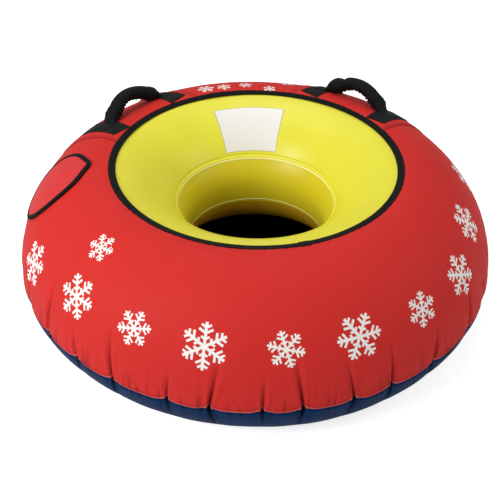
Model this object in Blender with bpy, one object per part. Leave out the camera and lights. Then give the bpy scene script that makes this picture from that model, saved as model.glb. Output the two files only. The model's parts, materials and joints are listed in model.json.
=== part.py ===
"""Snow tube: an inflated PVC ring in a sewn cloth cover, with two padded handles and a valve under a flap.

The floor is z = 0, the ring stands about the Z axis and its front faces -Y. All sizes are in metres.
"""

import math

import bpy
import numpy as np
from mathutils import Matrix, Vector

# The inflated ring's outside
OUTER_RADIUS = 0.5005
EQUATOR_HEIGHT = 0.117
CREST_RADIUS = 0.3165
HEIGHT = 0.318
WAIST_RADIUS = 0.143
WAIST_HEIGHT = 0.157
FLAT_OUTER_SHARE = 0.4538
FLAT_OUTER_RADIUS = CREST_RADIUS + FLAT_OUTER_SHARE * (OUTER_RADIUS - CREST_RADIUS)
FLAT_INNER_RADIUS = 0.32
SHOULDER_POWER = 1.8
SEAT_POWER = 1.75
UNDER_POWER = 2.3
BILGE_POWER = 2.0

# Cloth, film and the gaps between pieces
CLOTH = 0.0009
FILM = 0.0008
TAPE = 0.0008
CLEARANCE = 0.0003
SURFACE_GAP = 0.0012
LAYER_GAP = 0.0007

# Cover: the seat opening, the perimeter seam and its tucks
OPENING_RADIUS = 0.2905
OPENING_TAPE_WIDTH = 0.016
BLADDER_GAP = 0.0016
SEAM_HEIGHT = 0.102
SEAM_ALLOWANCE = 0.009
SEAM_TAPE_WIDTH = 0.006
TUCK_DEPTH = 0.009
TUCK_LENGTH = 0.135
TUCK_LENGTH_SHARES = (1.0, 0.6, 0.85, 0.65, 1.0, 0.7, 0.8, 0.6)
TUCK_DEPTH_SHARES = (1.0, 0.6, 0.9, 0.7, 1.0, 0.65, 0.85, 0.6)
SEGMENTS = 64
PANEL_STRIPS = 7
BILGE_STRIPS = 4

# Bladder: weld lines and laps
UPPER_WELD_RADIUS = 0.163
LOWER_WELD_HEIGHT = 0.109
LAP = 0.008
SEAM_RELIEF = 0.0205
RELIEF_REACH = 0.15
SEAT_STRIPS = 4
WELL_STRIPS = 3
UNDER_STRIPS = 2

# Handles
HANDLE_ANGLES = {"left": math.radians(136.5), "right": math.radians(43.5)}
HANDLE_REACH = 0.3474
PATCH_LENGTH = 0.106
PATCH_WIDTH = 0.049
PATCH_OFFSET = 0.092
WEBBING_WIDTH = 0.038
WEBBING = 0.0016
STRAP_END_LENGTH = 0.04
BACKING_HALF_WIDTH = 0.131
BACKING_FLARE = 0.022
BACKING_MARGIN = 0.0705
BACKING_REACH = OUTER_RADIUS - BACKING_MARGIN
BACKING_ROWS = 6
BACKING_COLUMNS = 8
LOOP_HALF_SPAN = 0.048
LOOP_BOW = 0.016
LOOP_TILT = math.radians(18)
PIVOT_HEIGHT = 0.0213
SLEEVE_RADIUS = 0.0155
SLEEVE_MOUTH_RADIUS = 0.0088
FOOT_LEAN = math.radians(40)
SLEEVE_WALL = 0.0012
PADDING_BORE = 0.0065
GRIP_STEPS = 12
GRIP_SIDES = 8
CORE_WIDTH = 0.0105
CORE_TIP_WIDTH = 0.003

# Valve flap
VALVE_ANGLE = math.radians(178.3)
FLAP_OFFSET = 0.001
FLAP_HALF_LENGTH = 0.0885
FLAP_HALF_WIDTH = 0.0785
FLAP_POINT = 0.0065
FLAP_POINT_SPREAD = math.radians(24)
FLAP_CLOTH = 0.0012
FLAP_EDGE_LIFT = 0.0024
FLAP_REST_LIFT = 0.0036
FLAP_CROWN_LIFT = 0.006
FLAP_TAPE_WIDTH = 0.01
FLAP_RING_SHARES = (0.2, 0.42, 0.62, 0.8, 0.92, 1.0)
FLAP_SIDES = 32
STRIP_LENGTH = 0.04
STRIP_WIDTH = 0.02
STRIP_GAP = 0.0016
STRIP = 0.0011
WINDOW_RADIUS = 0.034
WINDOW_FACING_WIDTH = 0.012

# Valve
VALVE_SIDES = 24
HOLE_SIDES = 10
COLLAR_BORE = 0.0165
COLLAR_RADIUS = 0.0205
COLLAR_TOP = 0.003
COLLAR_DEPTH = 0.008
FLANGE_RADIUS = 0.028
FLANGE = 0.0012
THREAD_GAP = 0.0004
AIR_BORE = 0.011
BODY_RIM_RADIUS = 0.0202
BODY_RIM = 0.0012
BODY_PLATE = 0.0015
AIR_HOLE_RADIUS = 0.0022
AIR_HOLE_RING = 0.0066
AIR_HOLES = 6
STEM_RADIUS = 0.0013
STEM_HEAD_RADIUS = 0.0026
STEM_HEAD = 0.001
DIAPHRAGM_RADIUS = 0.0095
DIAPHRAGM = 0.0008
CAP_RADIUS = 0.0205
CAP = 0.0015
PLUG_WALL = 0.002
PLUG_LENGTH = 0.005
GRIP_BAR_LENGTH = 0.028
GRIP_BAR_WIDTH = 0.004
GRIP_BAR_HEIGHT = 0.0022
TETHER_INNER = 0.021
TETHER_OUTER = 0.0245
TETHER_TONGUE = 0.008
OVERRUN = 0.01

TURN = 2 * math.pi
SECTION_SAMPLES = 1441


def clear_scene():
    for obj in list(bpy.data.objects):
        bpy.data.objects.remove(obj)


def surface(name, colour, roughness):
    material = bpy.data.materials.new(name)
    material.use_nodes = True
    shader = material.node_tree.nodes["Principled BSDF"]
    shader.inputs["Base Color"].default_value = (*colour, 1)
    shader.inputs["Roughness"].default_value = roughness
    material.diffuse_color = (*colour, 1)
    return material


# The ring's section, walked from the hidden underside of the hole, over the crest, to the floor outside


def section_point(turn):
    """Radius and height at an angle about the section: 0 is the equator, 90 the crest, 180 the waist."""
    across, up = math.cos(turn), math.sin(turn)
    if across >= 0:
        side, level = OUTER_RADIUS, EQUATOR_HEIGHT
        centre, power = (CREST_RADIUS, SHOULDER_POWER) if up >= 0 else (FLAT_OUTER_RADIUS, BILGE_POWER)
    else:
        side, level = WAIST_RADIUS, WAIST_HEIGHT
        centre, power = (CREST_RADIUS, SEAT_POWER) if up >= 0 else (FLAT_INNER_RADIUS, UNDER_POWER)
    rise = HEIGHT - level if up >= 0 else -level
    return centre + (side - centre) * abs(across) ** (2 / power), level + rise * abs(up) ** (2 / power)


def walk_section():
    """Arc length from the crest, outward positive, with the radius and height there."""
    turns = np.radians(np.linspace(270, -90, SECTION_SAMPLES))
    points = np.array([section_point(turn) for turn in turns])
    arcs = np.concatenate([[0], np.cumsum(np.linalg.norm(np.diff(points, axis=0), axis=1))])
    return arcs - np.interp(math.radians(-90), -turns, arcs), points[:, 0], points[:, 1]


ARCS, RADII, HEIGHTS = walk_section()
CREST = int(np.argmin(np.abs(ARCS)))
WAIST = int(np.argmin(RADII))
EQUATOR = int(np.argmax(RADII))


def arc_at_radius(radius):
    """On the upper side, between the waist and the equator."""
    return float(np.interp(radius, RADII[WAIST:EQUATOR], ARCS[WAIST:EQUATOR]))


def arc_at_outer_height(height):
    return float(np.interp(-height, -HEIGHTS[CREST:], ARCS[CREST:]))


def arc_at_inner_height(height):
    return float(np.interp(height, HEIGHTS[:CREST], ARCS[:CREST]))


def on_ring(angle, arc, lift=0.0):
    """The point at an arc length on the ring's section, raised off the surface by lift."""
    here = np.interp(arc, ARCS, RADII), np.interp(arc, ARCS, HEIGHTS)
    step = ARCS[CREST + 1] - ARCS[CREST - 1]
    ahead = np.interp(arc + step, ARCS, RADII), np.interp(arc + step, ARCS, HEIGHTS)
    behind = np.interp(arc - step, ARCS, RADII), np.interp(arc - step, ARCS, HEIGHTS)
    slope = Vector((ahead[0] - behind[0], ahead[1] - behind[1])).normalized()
    radius, height = here[0] - slope.y * lift, here[1] + slope.x * lift
    return Vector((radius * math.cos(angle), radius * math.sin(angle), height))


def over_plan(x, y, lift):
    """The point of the ring's upper side above a point of the plan, raised by lift."""
    return on_ring(math.atan2(y, x), arc_at_radius(math.hypot(x, y)), lift)


def column_angle(column):
    """The columns stand so that one facet's middle is at the valve."""
    return VALVE_ANGLE + (column + 0.5) * TURN / SEGMENTS


OPENING_ARC = arc_at_radius(OPENING_RADIUS)
SEAM_ARC = arc_at_outer_height(SEAM_HEIGHT)
UPPER_WELD_ARC = arc_at_radius(UPPER_WELD_RADIUS)
LOWER_WELD_ARC = arc_at_inner_height(LOWER_WELD_HEIGHT)
PANEL_ARCS = [float(arc) for arc in np.linspace(OPENING_ARC, SEAM_ARC, PANEL_STRIPS + 1)]
BILGE_ARCS = [float(arc) for arc in np.linspace(ARCS[-1], SEAM_ARC, BILGE_STRIPS + 1)]

# The valve stands on the middle of the panel's fourth row, and the flap and strips are placed from it
VALVE_ARC = PANEL_ARCS[3]
FLAP_ARC = VALVE_ARC + FLAP_OFFSET
STRIP_ARC = VALVE_ARC + WINDOW_RADIUS + WINDOW_FACING_WIDTH + STRIP_GAP + STRIP_WIDTH / 2


# Meshes


def add_object(name, points, faces, material, origin=None):
    """One closed mesh from world points, with its origin at the given point."""
    origin = origin or Vector()
    mesh = bpy.data.meshes.new(name)
    mesh.from_pydata([point - origin for point in points], [], faces)
    mesh.validate()
    mesh.shade_smooth()
    mesh.set_sharp_from_angle(angle=math.radians(35))
    mesh.materials.append(material)
    obj = bpy.data.objects.new(name, mesh)
    obj.location = origin
    bpy.context.scene.collection.objects.link(obj)
    return obj


def strip_faces(near, far, wraps):
    """Triangles between two rows of point numbers. A row of one point is a pole."""
    count = max(len(near), len(far))
    faces = []
    for step in range(count if wraps else count - 1):
        following = (step + 1) % count
        if len(near) == 1:
            faces.append((near[0], far[following], far[step]))
        elif len(far) == 1:
            faces.append((near[step], near[following], far[0]))
        else:
            faces.append((near[step], near[following], far[following]))
            faces.append((near[step], far[following], far[step]))
    return faces


def shell(name, outer, inner, material, wraps=True, origin=None):
    """A closed wall between two like sets of rows, both cut into triangles in the same way.

    The outer rows run so that their faces look outward.
    """
    points = []
    numbered = []
    for side in (outer, inner):
        rows = []
        for row in side:
            rows.append(list(range(len(points), len(points) + len(row))))
            points.extend(row)
        numbered.append(rows)
    outside, inside = numbered
    faces = []
    for near, far in zip(outside, outside[1:]):
        faces += strip_faces(near, far, wraps)
    for near, far in zip(inside, inside[1:]):
        faces += [face[::-1] for face in strip_faces(near, far, wraps)]
    if len(outside[0]) > 1:
        faces += strip_faces(inside[0], outside[0], wraps)
    if len(outside[-1]) > 1:
        faces += strip_faces(outside[-1], inside[-1], wraps)
    if not wraps:
        faces += strip_faces([row[0] for row in outside], [row[0] for row in inside], False)
        faces += strip_faces([row[-1] for row in inside], [row[-1] for row in outside], False)
    return add_object(name, points, faces, material, origin)


def turned(name, outer, inner, place, material, origin=None, around=VALVE_SIDES):
    """A shell turned about the Z axis of a place, from outer and inner (radius, height) outlines."""

    def rows(outline):
        made = []
        for radius, height in outline:
            sides = around if radius > 0 else 1
            angles = [TURN * (side + 0.5) / around for side in range(sides)]
            round_points = [(radius * math.cos(a), radius * math.sin(a), height) for a in angles]
            made.append([place @ Vector(point) for point in round_points])
        return made

    return shell(name, rows(outer)[::-1], rows(inner)[::-1], material, True, origin)


def folded_tape(name, frames, cloth, width, material, origin=None):
    """Tape folded round an edge. Each frame is a point of the edge, the way into the cloth and the way out."""
    near = cloth / 2 + CLEARANCE
    far = near + TAPE
    outer_section = ((width, far), (-CLEARANCE - TAPE, far), (-CLEARANCE - TAPE, -far), (width, -far))
    inner_section = ((width, near), (-CLEARANCE, near), (-CLEARANCE, -near), (width, -near))

    def rows(section):
        return [[point + into * along + out * up for point, into, out in frames] for along, up in section]

    return shell(name, rows(outer_section), rows(inner_section), material, True, origin)


def cut(obj, cutter):
    """Cuts one object with another, which is then only a guide."""
    boolean = obj.modifiers.new("cut", "BOOLEAN")
    boolean.object = cutter
    boolean.operation = "DIFFERENCE"
    cutter.hide_render = True
    cutter.display_type = "WIRE"


def join(obj, other):
    """Adds another closed shape to an object, and leaves that shape as a guide."""
    boolean = obj.modifiers.new("join", "BOOLEAN")
    boolean.object = other
    boolean.operation = "UNION"
    other.hide_render = True
    other.display_type = "WIRE"


def rod(name, radius, bottom, top, place, material, around=VALVE_SIDES):
    """A plain round bar along the place's Z axis."""
    outer = ((0, top), (radius, top))
    inner = ((0, bottom), (radius, bottom))
    return turned(name, outer, inner, place, material, None, around)


# The cover


def tuck(column, arc):
    """How far the seam's gathering draws the cloth in at a column and an arc length."""
    if column % 2 == 0:
        return 0.0
    index = (column // 2) % len(TUCK_LENGTH_SHARES)
    turned_by = abs(math.remainder(column_angle(column) - VALVE_ANGLE, TURN))
    share = TUCK_LENGTH_SHARES[index]
    if turned_by * OUTER_RADIUS < FLAP_HALF_WIDTH + TUCK_DEPTH:
        share = min(TUCK_LENGTH_SHARES)
    away = min(abs(arc - SEAM_ARC) / (TUCK_LENGTH * share), 1)
    return TUCK_DEPTH * TUCK_DEPTH_SHARES[index] * (1 - away**2) ** 2


def cover_row(arc, depth):
    return [on_ring(column_angle(c), arc, -depth - tuck(c, arc)) for c in range(SEGMENTS)]


def seam_row(inset, rise):
    """A level row set in from the seam line and raised from it, following the tucks."""
    row = []
    for column in range(SEGMENTS):
        angle = column_angle(column)
        edge = on_ring(angle, SEAM_ARC, -tuck(column, SEAM_ARC))
        out = Vector((math.cos(angle), math.sin(angle), 0))
        row.append(Vector((edge.x, edge.y, SEAM_HEIGHT + rise)) - out * inset)
    return row


def build_cover(cloth_red, cloth_navy, tape_black):
    split = CLEARANCE / 2
    outer = [cover_row(arc, 0) for arc in PANEL_ARCS[:-1]]
    outer += [seam_row(0, split), seam_row(SEAM_ALLOWANCE, split)]
    inner = [cover_row(arc, CLOTH) for arc in PANEL_ARCS[:-1]]
    inner += [seam_row(CLOTH, split + CLOTH), seam_row(SEAM_ALLOWANCE, split + CLOTH)]
    top_panel = shell("cover_top_panel", outer[::-1], inner[::-1], cloth_red)

    outer = [[Vector((0, 0, 0))]] + [cover_row(arc, 0) for arc in BILGE_ARCS[:-1]]
    outer += [seam_row(0, -split), seam_row(SEAM_ALLOWANCE, -split)]
    inner = [[Vector((0, 0, CLOTH))]] + [cover_row(arc, CLOTH) for arc in BILGE_ARCS[:-1]]
    inner += [seam_row(CLOTH, -split - CLOTH), seam_row(SEAM_ALLOWANCE, -split - CLOTH)]
    shell("cover_base_panel", outer, inner, cloth_navy)

    edge = cover_row(PANEL_ARCS[0], CLOTH / 2)
    further = cover_row(PANEL_ARCS[1], CLOTH / 2)
    frames = []
    for column in range(SEGMENTS):
        angle = column_angle(column)
        into = (further[column] - edge[column]).normalized()
        side = Vector((-math.sin(angle), math.cos(angle), 0))
        frames.append((edge[column], into, into.cross(side)))
    folded_tape("seat_opening_binding", frames, CLOTH, OPENING_TAPE_WIDTH, tape_black)

    tips = seam_row(SEAM_ALLOWANCE, 0)
    frames = []
    for column in range(SEGMENTS):
        angle = column_angle(column)
        frames.append((tips[column], Vector((math.cos(angle), math.sin(angle), 0)), Vector((0, 0, 1))))
    folded_tape("perimeter_seam_tape", frames, 2 * CLOTH + CLEARANCE, SEAM_TAPE_WIDTH, tape_black)
    return top_panel


# The bladder


def bladder_depth(arc):
    """How deep the bladder lies under the cover: further in beside the seam, clear of its tucks."""
    away = min(abs(arc - SEAM_ARC) / RELIEF_REACH, 1)
    return CLOTH + BLADDER_GAP + SEAM_RELIEF * (1 - away**2) ** 2


def bladder_row(arc, layers=0, depth=None):
    depth = bladder_depth(arc) if depth is None else depth
    return [on_ring(column_angle(c), arc, -depth - layers * (FILM + CLEARANCE)) for c in range(SEGMENTS)]


def thickened(outer):
    """The inner rows of a film: each point moved in along the normal of its rows."""
    inner = []
    for index, row in enumerate(outer):
        before, after = outer[max(index - 1, 0)], outer[min(index + 1, len(outer) - 1)]
        moved = []
        for column, point in enumerate(row):
            side = Vector((-point.y, point.x, 0)).normalized()
            moved.append(point - (after[column] - before[column]).normalized().cross(side) * FILM)
        inner.append(moved)
    return inner


def part_way(row, other, share):
    return [point.lerp(goal, share) for point, goal in zip(row, other)]


def bladder_top_arcs():
    seat = [float(arc) for arc in np.linspace(UPPER_WELD_ARC, OPENING_ARC, SEAT_STRIPS + 1)]
    return seat + PANEL_ARCS[2:-1:2] + [SEAM_ARC + LAP]


def build_bladder(film_yellow):
    arcs = bladder_top_arcs()
    outer = [bladder_row(arc) for arc in arcs]
    top_sheet = shell("bladder_top_sheet", outer[::-1], thickened(outer)[::-1], film_yellow)

    well_arcs = [float(arc) for arc in np.linspace(LOWER_WELD_ARC, UPPER_WELD_ARC, WELL_STRIPS + 1)]
    lapped = part_way(bladder_row(arcs[0], 1), bladder_row(arcs[1], 1), LAP / (arcs[1] - arcs[0]))
    outer = [bladder_row(arc, 1) for arc in well_arcs[:-1]] + [lapped]
    shell("bladder_well_sheet", outer[::-1], thickened(outer)[::-1], film_yellow)

    foot = CLOTH + CLEARANCE
    well_step = well_arcs[1] - well_arcs[0]
    last_step = arcs[-1] - arcs[-2]
    under_arcs = [float(arc) for arc in np.linspace(ARCS[0], LOWER_WELD_ARC, UNDER_STRIPS + 1)]
    outer = [part_way(bladder_row(arcs[-1], 1), bladder_row(arcs[-2], 1), 2 * LAP / last_step)]
    outer += [bladder_row(arc, 1) for arc in BILGE_ARCS[2:0:-1]]
    outer += [bladder_row(arc, 0, foot) for arc in (BILGE_ARCS[0], under_arcs[0])]
    outer += [bladder_row(arc, 2) for arc in under_arcs[1:-1]]
    outer.append(part_way(bladder_row(well_arcs[0], 2), bladder_row(well_arcs[1], 2), LAP / well_step))
    shell("bladder_base_sheet", outer[::-1], thickened(outer)[::-1], film_yellow)
    return top_sheet


# The handles


class Handle:
    """One handle's own directions: out from the ring's axis, sideways toward the tube's front, and up."""

    def __init__(self, side):
        self.side = side
        angle = HANDLE_ANGLES[side]
        front = 1 if side == "left" else -1
        self.out = Vector((math.cos(angle), math.sin(angle), 0))
        self.across = Vector((-math.sin(angle), math.cos(angle), 0)) * front
        foot = self.out * HANDLE_REACH + self.across * LOOP_HALF_SPAN
        seat = over_plan(foot.x, foot.y, 0)
        self.rise = self.out * math.sin(LOOP_TILT) + Vector((0, 0, math.cos(LOOP_TILT)))
        height = seat.z + PIVOT_HEIGHT * math.cos(LOOP_TILT)
        reach = HANDLE_REACH + PIVOT_HEIGHT * math.sin(LOOP_TILT)
        self.pivot = self.out * reach + Vector((0, 0, height))

    def heading(self, climb):
        """The direction that climbs at this angle from the sideways one."""
        return self.across * math.cos(climb) + self.rise * math.sin(climb)

    def over(self, along, sideways, lift):
        plan = self.out * along + self.across * sideways
        return over_plan(plan.x, plan.y, lift)

    def sheet(self, name, alongs, sideways, low, high, material):
        """A sewn-on sheet over a grid of the surface. low and high give the lift of its two faces."""
        if self.across.cross(self.out).z < 0:
            sideways = sideways[::-1]
        top = [[self.over(a, s, high(a, s)) for s in sideways] for a in alongs]
        bottom = [[self.over(a, s, low(a, s)) for s in sideways] for a in alongs]
        return shell(name, top, bottom, material, wraps=False)


def build_backing(handle, cloth_red):
    """The second layer of cloth under a handle, from the binding out over the shoulder."""
    tape_edge = OPENING_RADIUS + OPENING_TAPE_WIDTH + CLEARANCE
    top, bottom = [], []
    for row in range(BACKING_ROWS + 1):
        share = row / BACKING_ROWS
        half_width = BACKING_HALF_WIDTH + BACKING_FLARE * share
        high_row, low_row = [], []
        for column in range(BACKING_COLUMNS + 1):
            sideways = half_width * (2 * column / BACKING_COLUMNS - 1)
            start = math.sqrt(tape_edge**2 - sideways**2)
            along = start + (BACKING_REACH - start) * share
            high_row.append(handle.over(along, sideways, SURFACE_GAP + CLOTH))
            low_row.append(handle.over(along, sideways, SURFACE_GAP))
        top.append(high_row)
        bottom.append(low_row)
    if handle.across.cross(handle.out).z < 0:
        top = [row[::-1] for row in top]
        bottom = [row[::-1] for row in bottom]
    shell(handle.side + "_handle_backing", top, bottom, cloth_red, wraps=False)


STRAP_BOTTOM = SURFACE_GAP + CLOTH + LAYER_GAP
STRAP_TOP = STRAP_BOTTOM + WEBBING


def build_patches(handle, webbing_black):
    """The strap's flat ends on the backing, and the patches sewn over them."""
    over_strap = STRAP_TOP + LAYER_GAP
    half = WEBBING_WIDTH / 2
    shoulder = half + over_strap - STRAP_BOTTOM
    near, far = PATCH_OFFSET - PATCH_WIDTH / 2, PATCH_OFFSET + PATCH_WIDTH / 2
    strap_far = near + STRAP_END_LENGTH
    steps = (-PATCH_LENGTH / 2, -(PATCH_LENGTH / 2 + shoulder) / 2, -shoulder, -half - CLEARANCE)
    alongs = [HANDLE_REACH + step for step in steps + (0,) + tuple(-step for step in steps[::-1])]
    step_far = strap_far + over_strap - STRAP_BOTTOM
    sides = [near, (near + strap_far) / 2, strap_far + CLEARANCE, step_far, far]

    def patch_low(along, sideways):
        beside = abs(along - HANDLE_REACH) > half + 2 * CLEARANCE
        beyond = abs(sideways) > strap_far + 2 * CLEARANCE
        return STRAP_BOTTOM if beside or beyond else over_strap

    strap_alongs = [HANDLE_REACH - half, HANDLE_REACH, HANDLE_REACH + half]
    strap_near = LOOP_HALF_SPAN - SLEEVE_MOUTH_RADIUS / 2
    strap_sides = [strap_near, near, (near + strap_far) / 2, strap_far]
    for end, sign in (("front", 1), ("rear", -1)):
        order = sign > 0
        patch_sides = [sign * s for s in (sides if order else sides[::-1])]
        end_sides = [sign * s for s in (strap_sides if order else strap_sides[::-1])]
        name = handle.side + "_handle_" + end
        handle.sheet(
            name + "_patch",
            alongs,
            patch_sides,
            patch_low,
            lambda a, s: patch_low(a, s) + TAPE,
            webbing_black,
        )
        handle.sheet(
            name + "_strap_end",
            strap_alongs,
            end_sides,
            lambda a, s: STRAP_BOTTOM,
            lambda a, s: STRAP_TOP,
            webbing_black,
        )


def grip_frames(handle):
    """Along the grip, foot to foot: its centre, and how steeply it climbs there."""
    half_turn = 2 * math.atan(LOOP_BOW / LOOP_HALF_SPAN)
    radius = (LOOP_HALF_SPAN**2 + LOOP_BOW**2) / (2 * LOOP_BOW)
    frames = []
    for step in range(GRIP_STEPS + 1):
        turn = half_turn * (2 * step / GRIP_STEPS - 1)
        bow = radius * math.cos(turn) - radius + LOOP_BOW
        centre = handle.across * (radius * math.sin(turn)) + handle.rise * bow
        frames.append((handle.pivot + centre, -turn))
    return frames


def grip_rows(handle, frames, radius, mouth):
    """Rings of a tube along the grip. With a mouth its feet close like a ball's, down to that radius, and the
    mouth is turned down toward the strap."""
    level = handle.across.cross(handle.rise)

    def ring(centre, climb, shift, size):
        ahead = handle.heading(climb)
        other = ahead.cross(level)
        made = []
        for side in range(GRIP_SIDES):
            turn = TURN * side / GRIP_SIDES
            made.append(centre + ahead * shift + (level * math.cos(turn) + other * math.sin(turn)) * size)
        return made

    rows = [ring(*frame, 0, radius) for frame in frames]
    if mouth:
        closing = math.acos(mouth / radius)
        (first, first_climb), (last, last_climb) = frames[0], frames[-1]
        for step in (1, 2):
            angle, lean = closing * step / 2, FOOT_LEAN * step / 2
            shift, size = radius * math.sin(angle), radius * math.cos(angle)
            rows.insert(0, ring(first, first_climb + lean, -shift, size))
            rows.append(ring(last, last_climb - lean, shift, size))
    return rows


def build_grip(handle, cloth_black, foam_grey, webbing_black):
    frames = grip_frames(handle)
    name = handle.side + "_handle_"
    outer = grip_rows(handle, frames, SLEEVE_RADIUS, SLEEVE_MOUTH_RADIUS)
    inner = grip_rows(handle, frames, SLEEVE_RADIUS - SLEEVE_WALL, SLEEVE_MOUTH_RADIUS)
    shell(name + "sleeve", outer, inner, cloth_black, True, handle.pivot)

    padding_radius = SLEEVE_RADIUS - SLEEVE_WALL - CLEARANCE
    outer = grip_rows(handle, frames, padding_radius, 0)
    inner = grip_rows(handle, frames, PADDING_BORE, 0)
    shell(name + "padding", outer, inner, foam_grey, True, handle.pivot)

    reach = PIVOT_HEIGHT - STRAP_TOP - CLEARANCE
    ends = []
    for width in (CORE_TIP_WIDTH, CORE_WIDTH):
        ends.append((math.sqrt(reach**2 - (width / 2) ** 2), width / 2))
    upright = math.pi / 2
    core = [(frames[0][0], upright, -shift, half) for shift, half in ends]
    core += [(centre, climb, 0, CORE_WIDTH / 2) for centre, climb in frames]
    core += [(frames[-1][0], -upright, shift, half) for shift, half in ends[::-1]]
    level = handle.across.cross(handle.rise)
    top, bottom = [], []
    for centre, climb, shift, half in core:
        ahead = handle.heading(climb)
        middle, thick = centre + ahead * shift, ahead.cross(level) * WEBBING
        top.append([middle + thick + level * half, middle + thick - level * half])
        bottom.append([middle - thick + level * half, middle - thick - level * half])
    shell(name + "webbing", top, bottom, webbing_black, False, handle.pivot)


# The valve flap


def flap_edge(turn):
    """The flap's edge in a direction: turn 0 points down the slope, and half a turn up to its point."""
    from_point = math.remainder(turn - math.pi, TURN) / FLAP_POINT_SPREAD
    point = FLAP_POINT * math.exp(-from_point * from_point)
    down = (FLAP_HALF_LENGTH + point) * math.cos(turn)
    return down, FLAP_HALF_WIDTH * math.sin(turn)


def flap_lift(share):
    """Lift of the flap's underside: low at its edge, flat over the strips, crowned over the valve."""
    rim = min(max((1 - share) / (1 - FLAP_RING_SHARES[-3]), 0), 1)
    crown = max(1 - (share / FLAP_RING_SHARES[2]) ** 2, 0)
    at_rest = FLAP_EDGE_LIFT + (FLAP_REST_LIFT - FLAP_EDGE_LIFT) * rim
    return at_rest + (FLAP_CROWN_LIFT - FLAP_REST_LIFT) * crown


def on_slope(down, sideways, lift):
    """A point of the flap's own plane laid on the ring."""
    arc = FLAP_ARC + down
    radius = float(np.interp(arc, ARCS, RADII))
    return on_ring(VALVE_ANGLE - sideways / radius, arc, lift)


def flap_rows(raise_by):
    rows = [[on_slope(0, 0, flap_lift(0) + raise_by)]]
    for share in FLAP_RING_SHARES:
        row = []
        for side in range(FLAP_SIDES):
            down, sideways = flap_edge(TURN * side / FLAP_SIDES)
            row.append(on_slope(down * share, sideways * share, flap_lift(share) + raise_by))
        rows.append(row)
    return rows


def flap_pivot():
    """The tangent at the flap's sewn point, at the middle of its cloth."""
    return on_slope(flap_edge(math.pi)[0] - TAPE - CLEARANCE, 0, FLAP_EDGE_LIFT + FLAP_CLOTH / 2)


def build_flap(cloth_red, tape_black, hook_black, loop_black):
    pivot = flap_pivot()
    top, bottom = flap_rows(FLAP_CLOTH), flap_rows(0)
    shell("valve_flap", top, bottom, cloth_red, True, pivot)

    edge, within = flap_rows(FLAP_CLOTH / 2)[-1], flap_rows(FLAP_CLOTH / 2)[-2]
    frames = []
    for side in range(FLAP_SIDES):
        into = (within[side] - edge[side]).normalized()
        along = (edge[(side + 1) % FLAP_SIDES] - edge[side - 1]).normalized()
        out = along.cross(into).normalized()
        frames.append((edge[side], into, -out))
    folded_tape("valve_flap_binding", frames, FLAP_CLOTH, FLAP_TAPE_WIDTH, tape_black, pivot)

    def strip(name, low, high, material, origin=None):
        downs = [STRIP_ARC - FLAP_ARC + STRIP_WIDTH * share for share in (-0.5, 0, 0.5)]
        sides = [STRIP_LENGTH * share for share in (-0.5, -0.25, 0, 0.25, 0.5)]
        top = [[on_slope(d, s, high) for s in sides] for d in downs]
        bottom = [[on_slope(d, s, low) for s in sides] for d in downs]
        shell(name, top, bottom, material, False, origin)

    loop_low = SURFACE_GAP / 2
    loop_high = loop_low + STRIP
    hook_high = FLAP_REST_LIFT - CLEARANCE
    strip("cover_loop_strip", loop_low, loop_high, loop_black)
    strip("flap_hook_strip", loop_high + CLEARANCE, hook_high, hook_black, pivot)


# The valve


def valve_place():
    """The valve's own axes: its origin in the middle of the bladder's facet, Z out of it, X up the slope."""
    arcs = (PANEL_ARCS[2], PANEL_ARCS[4])
    corners = [on_ring(column_angle(c), arc, -bladder_depth(arc)) for arc in arcs for c in (-1, 0)]
    middle = sum(corners, Vector()) / len(corners)
    up_slope = (corners[0] + corners[1] - corners[2] - corners[3]).normalized()
    sideways = (corners[1] - corners[0]).normalized()
    out = up_slope.cross(sideways).normalized()
    if out.z < 0:
        out = -out
    return Matrix.Translation(middle) @ Matrix((up_slope, out.cross(up_slope), out)).transposed().to_4x4()


def build_window(top_panel, place, tape_black):
    """The window in the cover that the valve is reached through, and its facing."""
    cut(top_panel, rod("window_cutter", WINDOW_RADIUS, -OVERRUN, 2 * OVERRUN, place, tape_black))
    centre_down = VALVE_ARC - FLAP_ARC
    top, bottom = [], []
    for ring in range(3):
        radius = WINDOW_RADIUS + CLEARANCE + WINDOW_FACING_WIDTH * ring / 2
        places = []
        for side in range(VALVE_SIDES):
            turn = TURN * side / VALVE_SIDES
            places.append((centre_down + radius * math.cos(turn), radius * math.sin(turn)))
        top.append([on_slope(*spot, SURFACE_GAP / 2 + TAPE) for spot in places])
        bottom.append([on_slope(*spot, SURFACE_GAP / 2) for spot in places])
    shell("valve_window_facing", top, bottom, tape_black)


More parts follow.
